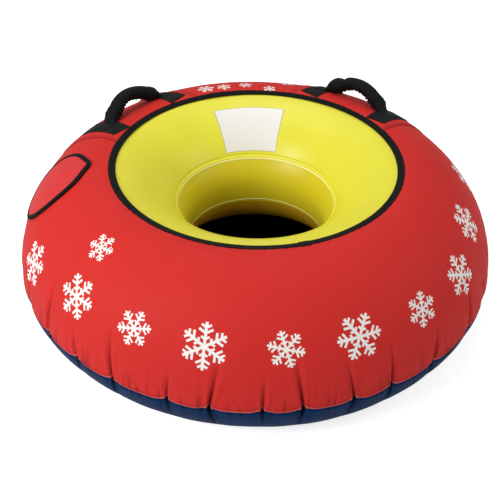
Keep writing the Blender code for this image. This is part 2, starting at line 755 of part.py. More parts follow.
def build_valve(top_sheet, place, soft_clear, hard_white, rubber_grey):
    centre = place.translation
    hole_radius = COLLAR_RADIUS + CLEARANCE
    cut(top_sheet, rod("collar_cutter", hole_radius, -OVERRUN, OVERRUN, place, soft_clear))

    outer = ((COLLAR_BORE, COLLAR_TOP), (COLLAR_RADIUS, COLLAR_TOP), (COLLAR_RADIUS, CLEARANCE + FLANGE),
             (FLANGE_RADIUS, CLEARANCE + FLANGE))
    inner = ((COLLAR_BORE, -COLLAR_DEPTH), (COLLAR_RADIUS, -COLLAR_DEPTH), (COLLAR_RADIUS, CLEARANCE),
             (FLANGE_RADIUS, CLEARANCE))
    turned("valve_base", outer, inner, place, soft_clear)

    rim_low = COLLAR_TOP + CLEARANCE
    rim_high = rim_low + BODY_RIM
    barrel = COLLAR_BORE - THREAD_GAP
    plate_top = -COLLAR_DEPTH + BODY_PLATE
    outer = ((0, plate_top), (AIR_BORE, plate_top), (AIR_BORE, rim_high), (BODY_RIM_RADIUS, rim_high))
    inner = ((0, -COLLAR_DEPTH), (barrel, -COLLAR_DEPTH), (barrel, rim_low), (BODY_RIM_RADIUS, rim_low))
    body = turned("valve_body", outer, inner, place, hard_white)
    low, high = -COLLAR_DEPTH - OVERRUN, plate_top + CLEARANCE
    cut(body, rod("stem_hole_cutter", STEM_RADIUS + CLEARANCE, low, high, place, hard_white, HOLE_SIDES))
    for hole in range(AIR_HOLES):
        turn = TURN * hole / AIR_HOLES
        aside = Matrix.Translation((AIR_HOLE_RING * math.cos(turn), AIR_HOLE_RING * math.sin(turn), 0))
        cutter = f"air_hole_cutter_{hole + 1}"
        cut(body, rod(cutter, AIR_HOLE_RADIUS, low, high, place @ aside, hard_white, HOLE_SIDES))

    disc_top = -COLLAR_DEPTH - CLEARANCE
    head_low = plate_top + CLEARANCE
    head_high = head_low + STEM_HEAD
    outer = ((0, head_high), (STEM_HEAD_RADIUS, head_high), (STEM_HEAD_RADIUS, head_low),
             (STEM_RADIUS, head_low), (STEM_RADIUS, disc_top), (DIAPHRAGM_RADIUS, disc_top))
    inner = ((0, disc_top - DIAPHRAGM), (DIAPHRAGM_RADIUS, disc_top - DIAPHRAGM))
    turned("valve_diaphragm", outer, inner, place, rubber_grey, None, 2 * HOLE_SIDES)

    cap_low = rim_high + CLEARANCE
    cap_high = cap_low + CAP
    plug, plug_low = AIR_BORE - THREAD_GAP, cap_low - PLUG_LENGTH
    plug_bore = plug - PLUG_WALL
    outer = ((0, cap_high), (CAP_RADIUS, cap_high))
    inner = ((0, cap_low), (plug_bore, cap_low), (plug_bore, plug_low), (plug, plug_low), (plug, cap_low),
             (CAP_RADIUS, cap_low))
    cap = turned("valve_cap", outer, inner, place, hard_white, centre)
    bar = Vector((GRIP_BAR_LENGTH / 2, GRIP_BAR_WIDTH / 2, 0))
    bar_low, bar_high = Vector((0, 0, cap_high - CAP / 2)), Vector((0, 0, cap_high + GRIP_BAR_HEIGHT))
    join(cap, block("cap_grip_bar", bar_low - bar, bar_high + bar, place, hard_white))

    ring_low = 2 * CLEARANCE + FLANGE
    ring_high = ring_low + FLANGE
    outer = ((TETHER_INNER, ring_high), (TETHER_OUTER, ring_high))
    inner = ((TETHER_INNER, ring_low), (TETHER_OUTER, ring_low))
    join(cap, turned("tether_ring", outer, inner, place, hard_white))
    half, near, far = TETHER_TONGUE / 2, TETHER_INNER + CLEARANCE, TETHER_OUTER + FLANGE
    low, high = ring_low + CLEARANCE, cap_high - CLEARANCE
    corners = Vector((-half, near, low)), Vector((half, far, high))
    join(cap, block("tether_tongue", *corners, place, hard_white))
    half, near, far = half - CLEARANCE, CAP_RADIUS - half, far - CLEARANCE
    low, high = cap_low + CLEARANCE, high - CLEARANCE
    corners = Vector((-half, near, low)), Vector((half, far, high))
    join(cap, block("tether_arm", *corners, place, hard_white))


def block(name, low, high, place, material):
    """A box between two corners in the place's own axes."""
    bottom, top = [
        [[place @ Vector((x, y, z)) for y in (low.y, high.y)] for x in (low.x, high.x)]
        for z in (low.z, high.z)
    ]
    return shell(name, top[::-1], bottom[::-1], material, False)


def main():
    clear_scene()
    cloth_red = surface("cover cloth red", (0.71, 0.05, 0.045), 0.6)
    cloth_navy = surface("base cloth navy", (0.008, 0.018, 0.06), 0.5)
    tape_black = surface("binding tape black", (0.012, 0.013, 0.014), 0.7)
    film_yellow = surface("bladder film yellow", (0.83, 0.77, 0.05), 0.35)
    webbing_black = surface("webbing black", (0.013, 0.014, 0.015), 0.75)
    cloth_black = surface("grip cloth black", (0.014, 0.015, 0.016), 0.65)
    foam_grey = surface("padding foam grey", (0.2, 0.2, 0.2), 0.9)
    hook_black = surface("hook strip black", (0.012, 0.012, 0.012), 0.8)
    loop_black = surface("loop strip black", (0.02, 0.02, 0.02), 0.95)
    soft_clear = surface("valve base pale", (0.75, 0.75, 0.7), 0.35)
    hard_white = surface("valve white", (0.8, 0.8, 0.78), 0.4)
    rubber_grey = surface("diaphragm grey", (0.1, 0.1, 0.1), 0.6)

    top_panel = build_cover(cloth_red, cloth_navy, tape_black)
    top_sheet = build_bladder(film_yellow)
    for side in HANDLE_ANGLES:
        handle = Handle(side)
        build_backing(handle, cloth_red)
        build_patches(handle, webbing_black)
        build_grip(handle, cloth_black, foam_grey, webbing_black)
        print(side, "handle hinge", [round(value, 5) for value in handle.pivot])
    build_flap(cloth_red, tape_black, hook_black, loop_black)
    place = valve_place()
    build_window(top_panel, place, tape_black)
    build_valve(top_sheet, place, soft_clear, hard_white, rubber_grey)
    print("flap hinge", [round(value, 5) for value in flap_pivot()])
    print("valve centre", [round(value, 5) for value in place.translation])
    print("valve axis", [round(value, 5) for value in place.col[2]])


main()
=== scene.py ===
"""An inflated snow tube with a sewn cover, two padded handles and a valve under a flap."""

import json
import math

import bmesh
import bpy
import numpy as np
from mathutils import Matrix, Vector


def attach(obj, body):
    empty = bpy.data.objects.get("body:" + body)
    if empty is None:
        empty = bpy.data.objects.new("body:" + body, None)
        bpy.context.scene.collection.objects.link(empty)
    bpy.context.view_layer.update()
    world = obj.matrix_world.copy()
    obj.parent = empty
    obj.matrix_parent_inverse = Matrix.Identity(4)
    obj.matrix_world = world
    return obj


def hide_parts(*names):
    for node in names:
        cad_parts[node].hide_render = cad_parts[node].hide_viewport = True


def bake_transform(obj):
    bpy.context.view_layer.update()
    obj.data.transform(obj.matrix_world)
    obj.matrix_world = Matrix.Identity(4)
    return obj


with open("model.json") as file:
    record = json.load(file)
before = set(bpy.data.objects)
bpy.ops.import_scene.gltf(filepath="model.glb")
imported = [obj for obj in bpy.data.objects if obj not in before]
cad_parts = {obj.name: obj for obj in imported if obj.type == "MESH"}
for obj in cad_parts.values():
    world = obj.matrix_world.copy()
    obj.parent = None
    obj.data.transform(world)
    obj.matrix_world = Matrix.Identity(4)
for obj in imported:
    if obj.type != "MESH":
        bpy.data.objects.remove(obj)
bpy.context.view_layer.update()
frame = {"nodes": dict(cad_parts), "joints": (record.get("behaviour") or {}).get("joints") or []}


# Camera and light
# The camera stands a little to the left of the front and looks down at 38 degrees, about 2 m from the middle.
# Three large soft lamps and a pale sky light the tube, and the floor is a pale studio sheet.

CAMERA_PLACE = (-0.1785, -1.5667, 1.2989)
CAMERA_PITCH, CAMERA_YAW, CAMERA_ROLL = math.radians(37.675), math.radians(-6.091), math.radians(0.689)
CAMERA_LENS, CAMERA_SENSOR = 64.52, 36
TUBE_MIDDLE = Vector((0, 0, 0.15))
SOFTBOXES = (
    ("front_left_softbox", (-2.1, -1.3, 1.7), 1.2, 45),
    ("overhead_softbox", (-0.2, 0.7, 2.6), 1.6, 18),
    ("right_softbox", (2.3, -0.5, 1.5), 1.6, 12),
)
SKY_LIGHT, PAPER_LIFT = 0.38, 0.72
FLOOR_REACH, FLOOR_DROP = 6, 0.0005


def in_scene(name, data):
    """A new object, linked to the scene."""
    obj = bpy.data.objects.new(name, data)
    bpy.context.scene.collection.objects.link(obj)
    return obj


camera_data = bpy.data.cameras.new("camera")
camera_data.lens, camera_data.sensor_width = CAMERA_LENS, CAMERA_SENSOR
camera = in_scene("camera", camera_data)
heading = Matrix.Rotation(CAMERA_YAW, 4, "Z") @ Matrix.Rotation(math.pi / 2 - CAMERA_PITCH, 4, "X")
camera.matrix_world = Matrix.Translation(CAMERA_PLACE) @ heading @ Matrix.Rotation(CAMERA_ROLL, 4, "Z")
bpy.context.scene.camera = camera

for name, place, size, power in SOFTBOXES:
    lamp = bpy.data.lights.new(name, "AREA")
    lamp.size, lamp.energy = size, power
    softbox = in_scene(name, lamp)
    softbox.location = place
    softbox.rotation_euler = (TUBE_MIDDLE - Vector(place)).to_track_quat("-Z", "Y").to_euler()


def linear(colour):
    """An sRGB hex colour as linear red, green, blue and 1."""
    shares = [int(colour[i:i + 2], 16) / 255 for i in (1, 3, 5)]
    return (*[s / 12.92 if s <= 0.04045 else ((s + 0.055) / 1.055) ** 2.4 for s in shares], 1)


def add(tree, kind, inputs=None, **settings):
    """Adds a node with its settings. An input is a value, a node, or a node with its output's name."""
    node = tree.nodes.new("ShaderNode" + kind)
    for name, value in settings.items():
        setattr(node, name, value)
    for name, value in (inputs or {}).items():
        source, output = value if isinstance(value, tuple) and len(value) == 2 else (value, None)
        if isinstance(source, bpy.types.Node):
            first = next(socket for socket in source.outputs if socket.enabled)
            tree.links.new(source.outputs[output] if output else first, node.inputs[name])
        else:
            node.inputs[name].default_value = value
    return node


def new_material(name):
    """A material with an empty node tree."""
    material = bpy.data.materials.new(name)
    material.use_nodes = True
    material.node_tree.nodes.clear()
    return material, material.node_tree


world = bpy.data.worlds.new("studio")
world.use_nodes = True
bpy.context.scene.world = world
bpy.context.scene.view_settings.view_transform = "Standard"
sky = world.node_tree
sky.nodes.clear()
seen = (add(sky, "LightPath"), "Is Camera Ray")
strength = add(sky, "MapRange", {"Value": seen, "To Min": SKY_LIGHT, "To Max": 1.0})
pale = add(sky, "Background", {"Color": linear("#FFFFFF"), "Strength": strength})
add(sky, "OutputWorld", {"Surface": pale})

# The floor is a sheet of white studio paper: it lifts to white for the camera and keeps the tube's shadow.
floor_mesh = bpy.data.meshes.new("studio_floor")
floor_corners = [(x * FLOOR_REACH, y * FLOOR_REACH, 0) for x, y in ((-1, -1), (1, -1), (1, 1), (-1, 1))]
floor_mesh.from_pydata(floor_corners, [], [(0, 1, 2, 3)])
floor = in_scene("studio_floor", floor_mesh)
floor.location.z = -FLOOR_DROP
paper, tree = new_material("studio paper")
seen = (add(tree, "LightPath"), "Is Camera Ray")
matt = add(tree, "BsdfDiffuse", {"Color": linear("#E4E4E4")})
lift = add(tree, "Emission", {"Color": linear("#FFFFFF"), "Strength": PAPER_LIFT})
nothing = add(tree, "Emission", {"Strength": 0.0})
lit = add(tree, "MixShader", {0: seen, 1: nothing, 2: lift})
both = add(tree, "AddShader", {0: matt, 1: lit})
add(tree, "OutputMaterial", {"Surface": both})
floor_mesh.materials.append(paper)


# Bladder
# The inflated ring: three sheets of yellow calendered PVC film, heat-welded along two lines in the hole
# and one outside under the cover. Air keeps it taut, with small puckers where the welds draw it together.

OUTER_RADIUS, EQUATOR_HEIGHT = 0.5005, 0.117
CREST_RADIUS, HEIGHT = 0.3165, 0.318
WAIST_RADIUS, WAIST_HEIGHT = 0.143, 0.157
FLAT_OUTER_RADIUS, FLAT_INNER_RADIUS = 0.4, 0.32
SHOULDER_POWER, SEAT_POWER, UNDER_POWER, BILGE_POWER = 1.8, 1.75, 2.3, 2.0
SECTION_POINTS = 2881
TURN = 2 * math.pi


def running_length(steps):
    """The length from the start to each point, from the steps between the points."""
    return np.concatenate([[0], np.cumsum(steps)])


def walk_section():
    """The ring's section from under the hole, over the crest, to the floor outside: arc lengths from the
    crest, radii, heights, and the two parts of the way out of the surface."""
    turns = np.radians(np.linspace(270, -90, SECTION_POINTS))
    across, up = np.cos(turns), np.sin(turns)
    outside, top = across >= 0, up >= 0
    side = np.where(outside, OUTER_RADIUS, WAIST_RADIUS)
    level = np.where(outside, EQUATOR_HEIGHT, WAIST_HEIGHT)
    centre = np.where(top, CREST_RADIUS, np.where(outside, FLAT_OUTER_RADIUS, FLAT_INNER_RADIUS))
    outer_power = np.where(top, SHOULDER_POWER, BILGE_POWER)
    inner_power = np.where(top, SEAT_POWER, UNDER_POWER)
    power = np.where(outside, outer_power, inner_power)
    radii = centre + (side - centre) * np.abs(across) ** (2 / power)
    heights = level + np.where(top, HEIGHT - level, -level) * np.abs(up) ** (2 / power)
    arcs = running_length(np.hypot(np.diff(radii), np.diff(heights)))
    arcs -= np.interp(math.radians(-90), -turns, arcs)
    return arcs, radii, heights, -np.gradient(heights, arcs), np.gradient(radii, arcs)


ARCS, RADII, HEIGHTS, OUT_R, OUT_Z = walk_section()
CREST, WAIST, EQUATOR = int(np.argmin(np.abs(ARCS))), int(np.argmin(RADII)), int(np.argmax(RADII))


def arc_at_radius(radius):
    """The arc length at a radius on the upper side, between the waist and the equator."""
    return np.interp(radius, RADII[WAIST:EQUATOR], ARCS[WAIST:EQUATOR])


def radius_at(arc):
    return np.interp(arc, ARCS, RADII)


def around(angle, radius, height):
    """Points round the ring's axis."""
    return np.stack([radius * np.cos(angle), radius * np.sin(angle), height], -1)


def ring(angle, arc, lift=0.0):
    """Points of the ring at angles and arc lengths, raised off its surface by lift."""
    angle, arc, lift = np.broadcast_arrays(angle, arc, lift)
    height = np.interp(arc, ARCS, HEIGHTS) + np.interp(arc, ARCS, OUT_Z) * lift
    return around(angle, radius_at(arc) + np.interp(arc, ARCS, OUT_R) * lift, height)


def waves(angle, arc, rounds, pitch, seed):
    """A soft unevenness of about -1 to 1 that closes round the ring. rounds: least and most waves round."""
    chance = np.random.default_rng(seed)
    total = 0
    for _ in range(9):
        count = chance.integers(*rounds)
        phase, slant = chance.uniform(0, TURN, 2)
        total = total + np.cos(count * angle + phase + np.cos(slant) * arc * TURN / pitch)
    return total / 5


def bell(value, width, power=2):
    """1 at 0, falling off on both sides to 1/e at the width."""
    return np.exp(-np.abs(value / width) ** power)


def smooth(value):
    """From 0 to 1 with a soft start and end."""
    value = np.clip(value, 0, 1)
    return value * value * (3 - 2 * value)


def turn_from(angle, at):
    """The angle from a direction, between minus and plus half a turn."""
    return np.remainder(angle - at + math.pi, TURN) - math.pi


def even_angles(count):
    return np.arange(count) * TURN / count


def even_runs(start, *runs):
    """Values from a start on, evenly spaced within each run. A run is its end and its count of values."""
    values = [np.array([start])]
    for end, count in runs:
        values.append(np.linspace(values[-1][-1], end, count)[1:])
    return np.concatenate(values)


def looped(grid):
    """A grid with its first column again at its end."""
    return np.concatenate([grid, grid[:, :1]], axis=1)


def face_corners(grid):
    return [grid[:-1, :-1], grid[1:, :-1], grid[1:, 1:], grid[:-1, 1:]]


def sheet_mesh(name, points, cloth, closed=True, kept=None, marks=None):
    """A mesh over a grid of points in rows. cloth gives each point's place on the flat cloth in metres, and
    its grid has one column more than a closed grid of points. kept says which faces stay, and marks are
    values by point."""
    rows, columns = points.shape[:2]
    number = np.arange(rows * columns).reshape(rows, columns)
    quads = np.stack(face_corners(looped(number) if closed else number), -1).reshape(-1, 4)
    flat = np.stack(face_corners(cloth), -2).reshape(-1, 4, 2)
    if kept is not None:
        quads, flat = quads[kept.ravel()], flat[kept.ravel()]
    used, quads = np.unique(quads, return_inverse=True)
    mesh = bpy.data.meshes.new(name)
    mesh.from_pydata(points.reshape(-1, 3)[used].tolist(), [], quads.reshape(-1, 4).tolist())
    mesh.uv_layers.new(name="cloth").data.foreach_set("uv", flat.astype(np.float32).ravel())
    for mark, values in (marks or {}).items():
        kind, field = ("FLOAT_VECTOR", "vector") if values.ndim == 3 else ("FLOAT", "value")
        values = values.reshape(rows * columns, -1)[used].astype(np.float32)
        mesh.attributes.new(mark, kind, "POINT").data.foreach_set(field, values.ravel())
    mesh.shade_smooth()
    return in_scene(name, mesh)


def close_middle(obj):
    """Joins the points that a round grid has at its middle."""
    solid = bmesh.new()
    solid.from_mesh(obj.data)
    bmesh.ops.remove_doubles(solid, verts=solid.verts, dist=1e-6)
    solid.to_mesh(obj.data)
    solid.free()


def flat_cloth(angle, arc):
    """Where each point of a ring's grid lies on its cloth, with the first column again at the end."""
    angle = np.concatenate([angle, angle[:, :1] + TURN], axis=1)
    return np.stack([angle * radius_at(arc).max(), looped(arc)], -1)


def ring_area(arcs):
    """The area of the ring's surface along a run of arc lengths."""
    radii = radius_at(arcs)
    return float(TURN * ((radii[1:] + radii[:-1]) / 2 * np.abs(np.diff(arcs))).sum())


def fit_piece(obj, finish, slot, *solids, body="tube"):
    """Gives a piece its finish, hides the solids that it replaces and attaches it to the body that it moves
    with. The slot is not used.
    """
    obj.data.materials.append(finish)
    if solids:
        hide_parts(*solids)
    if body:
        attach(obj, body)
    return obj


CLOTH, FILM, CLEARANCE, BLADDER_GAP = 0.0009, 0.0008, 0.0003, 0.0016
SEAM_HEIGHT, SEAM_RELIEF, RELIEF_REACH = 0.102, 0.0205, 0.15
OPENING_RADIUS = 0.2905
OPENING_ARC = float(arc_at_radius(OPENING_RADIUS))
SEAM_ARC = float(np.interp(-SEAM_HEIGHT, -HEIGHTS[CREST:], ARCS[CREST:]))

# The upper weld's lap stands up a little, with a pressed bead along its inner edge and a crease along its
# outer one. The lower weld shows its bead alone.
UPPER_WELD_RADIUS, LOWER_WELD_HEIGHT, LAP = 0.163, 0.109, 0.008
UPPER_WELD_ARC = float(arc_at_radius(UPPER_WELD_RADIUS))
LOWER_WELD_ARC = float(np.interp(LOWER_WELD_HEIGHT, HEIGHTS[:CREST], ARCS[:CREST]))
LAP_RISE, BEAD_RISE, CREASE_DEPTH = 0.0011, 0.0004, 0.0012
LAP_WIDTH, UPPER_BEAD, LOWER_BEAD, CREASE_WIDTH = 0.0032, 0.0013, 0.0012, 0.0022
WELD_DRAW, WELD_REACH, WELD_PUCKER, FILM_WAVE = 0.0009, 0.022, 0.00012, 0.0006
FINE_RUN = 0.012

# The blank white patch on the seat's back.
PATCH_ANGLE, PATCH_SPREAD = math.radians(88), math.radians(18.5)
PATCH_LOW, PATCH_HIGH = float(arc_at_radius(0.172)), float(arc_at_radius(0.253))

# The valve's flange is welded to a flat seat, from which the film slopes up to the round of the ring.
JOINTS = {joint["name"]: joint for joint in frame["joints"]}
VALVE_CENTRE = np.array(JOINTS["cap_turn"]["pos_m"])
VALVE_AXIS = np.array(JOINTS["cap_turn"]["axis"]) / np.linalg.norm(JOINTS["cap_turn"]["axis"])
VALVE_SEAT_RADIUS, VALVE_SLOPE_RADIUS, VALVE_SIDE, COLLAR_RADIUS = 0.032, 0.062, 0.05, 0.0205


def about_valve(points):
    """Each point's height along the valve's axis, its way out from the axis and the length of that."""
    height = (points - VALVE_CENTRE) @ VALVE_AXIS
    away = points - VALVE_CENTRE - height[..., None] * VALVE_AXIS
    return height, away, np.linalg.norm(away, axis=-1)


def round_hole(points, radius):
    """Draws the rim of a hole for the valve onto a circle, and says which faces stay."""
    height, away, reach = about_valve(points)
    inside = (reach < radius) & (np.hypot(reach, height) < 3 * radius)
    grow = np.where(inside, radius - reach, 0) / np.maximum(reach, 1e-6)
    points += away * grow[..., None]
    return ~np.logical_and.reduce(face_corners(looped(inside)))


def set_on_valve(points):
    """Draws the film onto the valve's flat seat."""
    height, _, reach = about_valve(points)
    share = smooth((VALVE_SLOPE_RADIUS - reach) / (VALVE_SLOPE_RADIUS - VALVE_SEAT_RADIUS))
    points -= (height * share * (np.abs(height) < VALVE_SIDE))[..., None] * VALVE_AXIS


def patch_places(angle, arc):
    """Each point's place from the middle of the white patch, in half widths aside and half depths down."""
    down = (2 * arc - PATCH_LOW - PATCH_HIGH) / (PATCH_HIGH - PATCH_LOW)
    return np.stack([np.abs(turn_from(angle, PATCH_ANGLE)) / PATCH_SPREAD, down, 0 * arc], -1)


def film_sheet(name, arcs, columns, layer, has_hole):
    """One of the bladder's sheets over a run of arc lengths. It lies a little under the cover, and further
    in beside the seam. Its welds and its patch are marked for the material."""
    angle, arc = np.meshgrid(even_angles(columns), arcs)
    beside_seam = (1 - np.clip(np.abs(arc - SEAM_ARC) / RELIEF_REACH, 0, 1) ** 2) ** 2
    depth = CLOTH + BLADDER_GAP + layer * (FILM + CLEARANCE) + SEAM_RELIEF * beside_seam
    pucker = WELD_PUCKER * waves(angle, arc, (38, 70), 0.2, 3) - WELD_DRAW
    lift = bell(arc - UPPER_WELD_ARC - LAP / 2, WELD_REACH) * pucker
    lift = lift + FILM_WAVE * waves(angle, arc, (2, 9), 0.4, 5)
    bead = bell(arc - UPPER_WELD_ARC, UPPER_BEAD, 4) + bell(arc - LOWER_WELD_ARC - LAP, LOWER_BEAD, 4)
    lift = lift - depth + BEAD_RISE * bead + LAP_RISE * bell(arc - UPPER_WELD_ARC - LAP / 2, LAP_WIDTH)
    points = ring(angle, arc, lift - CREASE_DEPTH * bell(arc - UPPER_WELD_ARC - LAP, CREASE_WIDTH))
    points[..., 2] = np.maximum(points[..., 2], CLOTH + CLEARANCE)
    kept = None
    if has_hole:
        set_on_valve(points)
        kept = round_hole(points, COLLAR_RADIUS + CLEARANCE)
    band = (arc > UPPER_WELD_ARC) & (arc < UPPER_WELD_ARC + LAP)
    marks = {"weld": band * 1.0, "bead": bead, "patch": patch_places(angle, arc)}
    return sheet_mesh(name, points, flat_cloth(angle, arc), True, kept, marks)


# A wave texture repeats every 0.314 m at a scale of 1.
WAVE_LENGTH = 0.314
WELD_RIB_PITCH = 0.002


def calendered_film(name, colours):
    """Calendered PVC film: a satin skin with a fine grain, a ribbed weld band, a pressed bead along each weld
    that is painted pale and glows faintly as a painted highlight, and a blank white patch printed on the
    seat's back."""
    material, tree = new_material(name)
    place = add(tree, "UVMap", uv_map="cloth")
    cloud = add(tree, "TexNoise", {"Vector": place, "Scale": 7.0, "Detail": 3.0})
    bead = (add(tree, "Attribute", attribute_name="bead"), "Fac")
    band = (add(tree, "Attribute", attribute_name="weld"), "Fac")
    spot = add(tree, "SeparateXYZ", {0: (add(tree, "Attribute", attribute_name="patch"), "Vector")})
    down = add(tree, "Math", {0: (spot, "Y")}, operation="ABSOLUTE")
    edge = add(tree, "Math", {0: (spot, "X"), 1: down}, operation="MAXIMUM")
    patch = add(tree, "Math", {0: edge, 1: 1.0}, operation="LESS_THAN")
    border = add(tree, "Math", {0: edge, 1: 0.985}, operation="GREATER_THAN")
    ink = add(tree, "Mix", {0: border, 6: linear("#F1F0EC"), 7: linear("#8E8C86")}, data_type="RGBA")
    # Painted highlight: the weld's bead is painted pale where its edge catches the light.
    pale = add(tree, "Math", {0: bead, 1: 0.9}, operation="MULTIPLY")
    tint = linear(colours[0])
    for share, over in ((cloud, linear(colours[1])), (pale, linear("#FFFBC0")), (patch, ink)):
        tint = add(tree, "Mix", {0: share, 6: tint, 7: over}, data_type="RGBA")
    grain = add(tree, "TexNoise", {"Vector": place, "Scale": 700.0, "Detail": 2.0})
    ribs = add(tree, "TexWave", {"Vector": place, "Scale": WAVE_LENGTH / WELD_RIB_PITCH})
    press = add(tree, "Math", {0: (ribs, "Fac"), 1: band}, operation="MULTIPLY")
    relief = add(tree, "Math", {0: grain, 1: 0.25, 2: press}, operation="MULTIPLY_ADD")
    shader = add(tree, "BsdfPrincipled", {
        "Base Color": tint,
        "Roughness": add(tree, "MapRange", {"Value": cloud, "To Min": 0.32, "To Max": 0.42}),
        "Normal": add(tree, "Bump", {"Height": relief, "Strength": 0.16, "Distance": 0.0004}),
        "IOR": 1.53,
        "Specular IOR Level": 0.38,
        "Subsurface Weight": 0.08,
        "Subsurface Radius": (0.004, 0.003, 0.0006),
        # Painted light: the bead glows faintly, though the film gives off no light.
        "Emission Color": linear("#FFF79A"),
        "Emission Strength": add(tree, "Math", {0: bead, 1: 0.16}, operation="MULTIPLY"),
    })
    add(tree, "OutputMaterial", {"Surface": shader})
    return material


pvc_film = calendered_film("calendered PVC film", ("#E8E034", "#F0E940"))
# The hole's film and the underside's film are the top's yellow film in deeper colours: painted shade for the
# dim hole and the ring's foot.
shaded_well_film = calendered_film("calendered PVC film of the hole, painted shade", ("#DFCD24", "#E6D52C"))
shaded_under_film = calendered_film("calendered PVC film underside, painted shade", ("#D2A41C", "#DDB024"))

seat_start, seat_end = UPPER_WELD_ARC - 0.001, OPENING_ARC + 0.02
seat_arcs = even_runs(seat_start, (UPPER_WELD_ARC + FINE_RUN, 20), (seat_end, 70), (SEAM_ARC + LAP, 110))
well_arcs = even_runs(LOWER_WELD_ARC, (LOWER_WELD_ARC + FINE_RUN, 16), (UPPER_WELD_ARC + LAP, 50))
under_arcs = np.linspace(ARCS[0], LOWER_WELD_ARC + LAP, 40)
bilge_arcs = np.linspace(SEAM_ARC - LAP, ARCS[-1], 40)
foot_arcs = np.concatenate([bilge_arcs, under_arcs])
flat_area = math.pi * (FLAT_OUTER_RADIUS**2 - FLAT_INNER_RADIUS**2)
foot_area = ring_area(bilge_arcs) + ring_area(under_arcs) + flat_area
# The film in the hole comes to 98% of the plain ring's area there.
well_area = 0.98 * ring_area(well_arcs)
films = {}
for name, arcs, columns, layer, finish, flat, area in (
    ("bladder_top", seat_arcs, 720, 0, pvc_film, (1.36, 1.36), ring_area(seat_arcs)),
    ("bladder_well", well_arcs, 480, 1, shaded_well_film, (1.04, 0.13), well_area),
    ("bladder_base", foot_arcs, 360, 1.5, shaded_under_film, (1.2, 1.2), foot_area),
):
    films[name] = film_sheet(name, arcs, columns, layer, name == "bladder_top")
    fit_piece(films[name], finish, "bladder_film", name + "_sheet")


# Valve
# A soft PVC flange and collar welded to the film, a screwed-in body with six air holes over a rubber disc,
# and a cap with a finger bar on a tether. All are moulded and keep their solids' shapes, with their edges
# broken.

BROKEN_EDGE, BROKEN_ANGLE = 0.00025, math.radians(40)


def moulded(name, colours, roughness, grain_size, softness=0.0):
    """A moulded plastic or rubber: a fine eggshell surface with faint flow marks."""
    material, tree = new_material(name)
    place = (add(tree, "TexCoord"), "Object")
    flow = add(tree, "TexNoise", {"Vector": place, "Scale": 45.0, "Detail": 3.0})
    fine = add(tree, "TexNoise", {"Vector": place, "Scale": 1 / grain_size})
    tint = add(tree, "Mix", {0: flow, 6: linear(colours[0]), 7: linear(colours[1])}, data_type="RGBA")
    rough = add(tree, "MapRange", {"Value": flow, "To Min": roughness - 0.07, "To Max": roughness + 0.07})
    shader = add(tree, "BsdfPrincipled", {
        "Base Color": tint,
        "Roughness": rough,
        "Normal": add(tree, "Bump", {"Height": fine, "Strength": 0.12, "Distance": grain_size / 6}),
        "Subsurface Weight": softness,
        "Subsurface Radius": (0.002, 0.002, 0.002),
    })
    add(tree, "OutputMaterial", {"Surface": shader})
    return material


soft_pvc = moulded("moulded soft PVC", ("#D9D8CC", "#E4E3D9"), 0.33, 0.0008, 0.15)
white_abs = moulded("moulded ABS", ("#E4E3DE", "#DCDAD2"), 0.38, 0.0006)
nitrile = moulded("moulded nitrile rubber", ("#4A4A4A", "#3C3C3C"), 0.6, 0.0005)
for node, finish in (
    ("valve_base", soft_pvc), ("valve_body", white_abs),
    ("valve_cap", white_abs), ("valve_diaphragm", nitrile),
):
    solid = frame["nodes"][node]
    solid.data.materials.clear()
    solid.data.materials.append(finish)
    broken = solid.modifiers.new("broken edges", "BEVEL")
    broken.width, broken.segments = BROKEN_EDGE, 2
    broken.limit_method, broken.angle_limit = "ANGLE", BROKEN_ANGLE
    broken.harden_normals = True


# Cover
# Coated woven polyester: a red top panel and a navy base panel, sewn together round the outside. The seam
# gathers the longer cloth into tucks, and air pressure puffs it out between them. White figures are
# printed on the red.

# The tucks that the front shows, in degrees, with their lengths and depths. The rest lie at an uneven pitch.
FRONT_TUCKS = (211, 222, 232.5, 245.5, 254.5, 265.5, 274, 285, 294, 306, 320.5, 331.5)
FRONT_LENGTHS = (0.135, 0.07, 0.13, 0.075, 0.125, 0.08, 0.13, 0.1, 0.11, 0.095, 0.115, 0.08)
FRONT_DEPTHS = (0.0085, 0.005, 0.008, 0.0055, 0.0088, 0.006, 0.0086, 0.0068, 0.0074, 0.0066, 0.0076, 0.0058)
BACK_START, BACK_END, BACK_PITCH = math.radians(342), math.radians(560), math.radians(11.25)
SHORT_TUCKS, LONG_TUCKS = (0.06, 0.075), (0.07, 0.13)
TUCK_LEAN, TUCK_CORE = 0.16, 0.0005
CROWDING, CROWDED = 3.2, math.radians(1.3)
SEAM_DRAW, SEAM_ROLL, PUFF, PUFF_REACH, SAG, SAG_REACH = 0.0028, 0.0024, 0.0056, 0.016, 0.0125, 0.0065
SEAM_REACH = 0.03
TAPE_PUCKER, TAPE_PUCKER_AT, TAPE_PUCKER_REACH = 0.00045, 0.017, 0.012
WINDOW_RADIUS = 0.034
VALVE_ANGLE, VALVE_SPREAD = math.radians(178.3), 0.14 / OUTER_RADIUS
COVER_COLUMNS = 1280


def all_tucks():
    """Angle, length and depth of each tuck. Those below the valve are short."""
    chance = np.random.default_rng(21)
    tucks = list(zip(np.radians(FRONT_TUCKS), FRONT_LENGTHS, FRONT_DEPTHS))
    at = BACK_START
    while at < BACK_END:
        short = abs(math.remainder(at - VALVE_ANGLE, TURN)) < VALVE_SPREAD
        length = chance.uniform(*(SHORT_TUCKS if short else LONG_TUCKS))
        tucks.append((at, length, 0.005 + 0.03 * (length - SHORT_TUCKS[0])))
        at += BACK_PITCH * chance.uniform(0.86, 1.12)
    return tucks


TUCKS = all_tucks()


def cover_angles(count):
    """Angles round the cover that crowd toward its tucks."""
    fine = even_angles(14400)
    crowding = 1 + sum(CROWDING * bell(turn_from(fine, at), CROWDED) for at, _, _ in TUCKS)
    reach = running_length(crowding)
    return np.interp(np.arange(count) * reach[-1] / count, reach, np.append(fine, TURN))


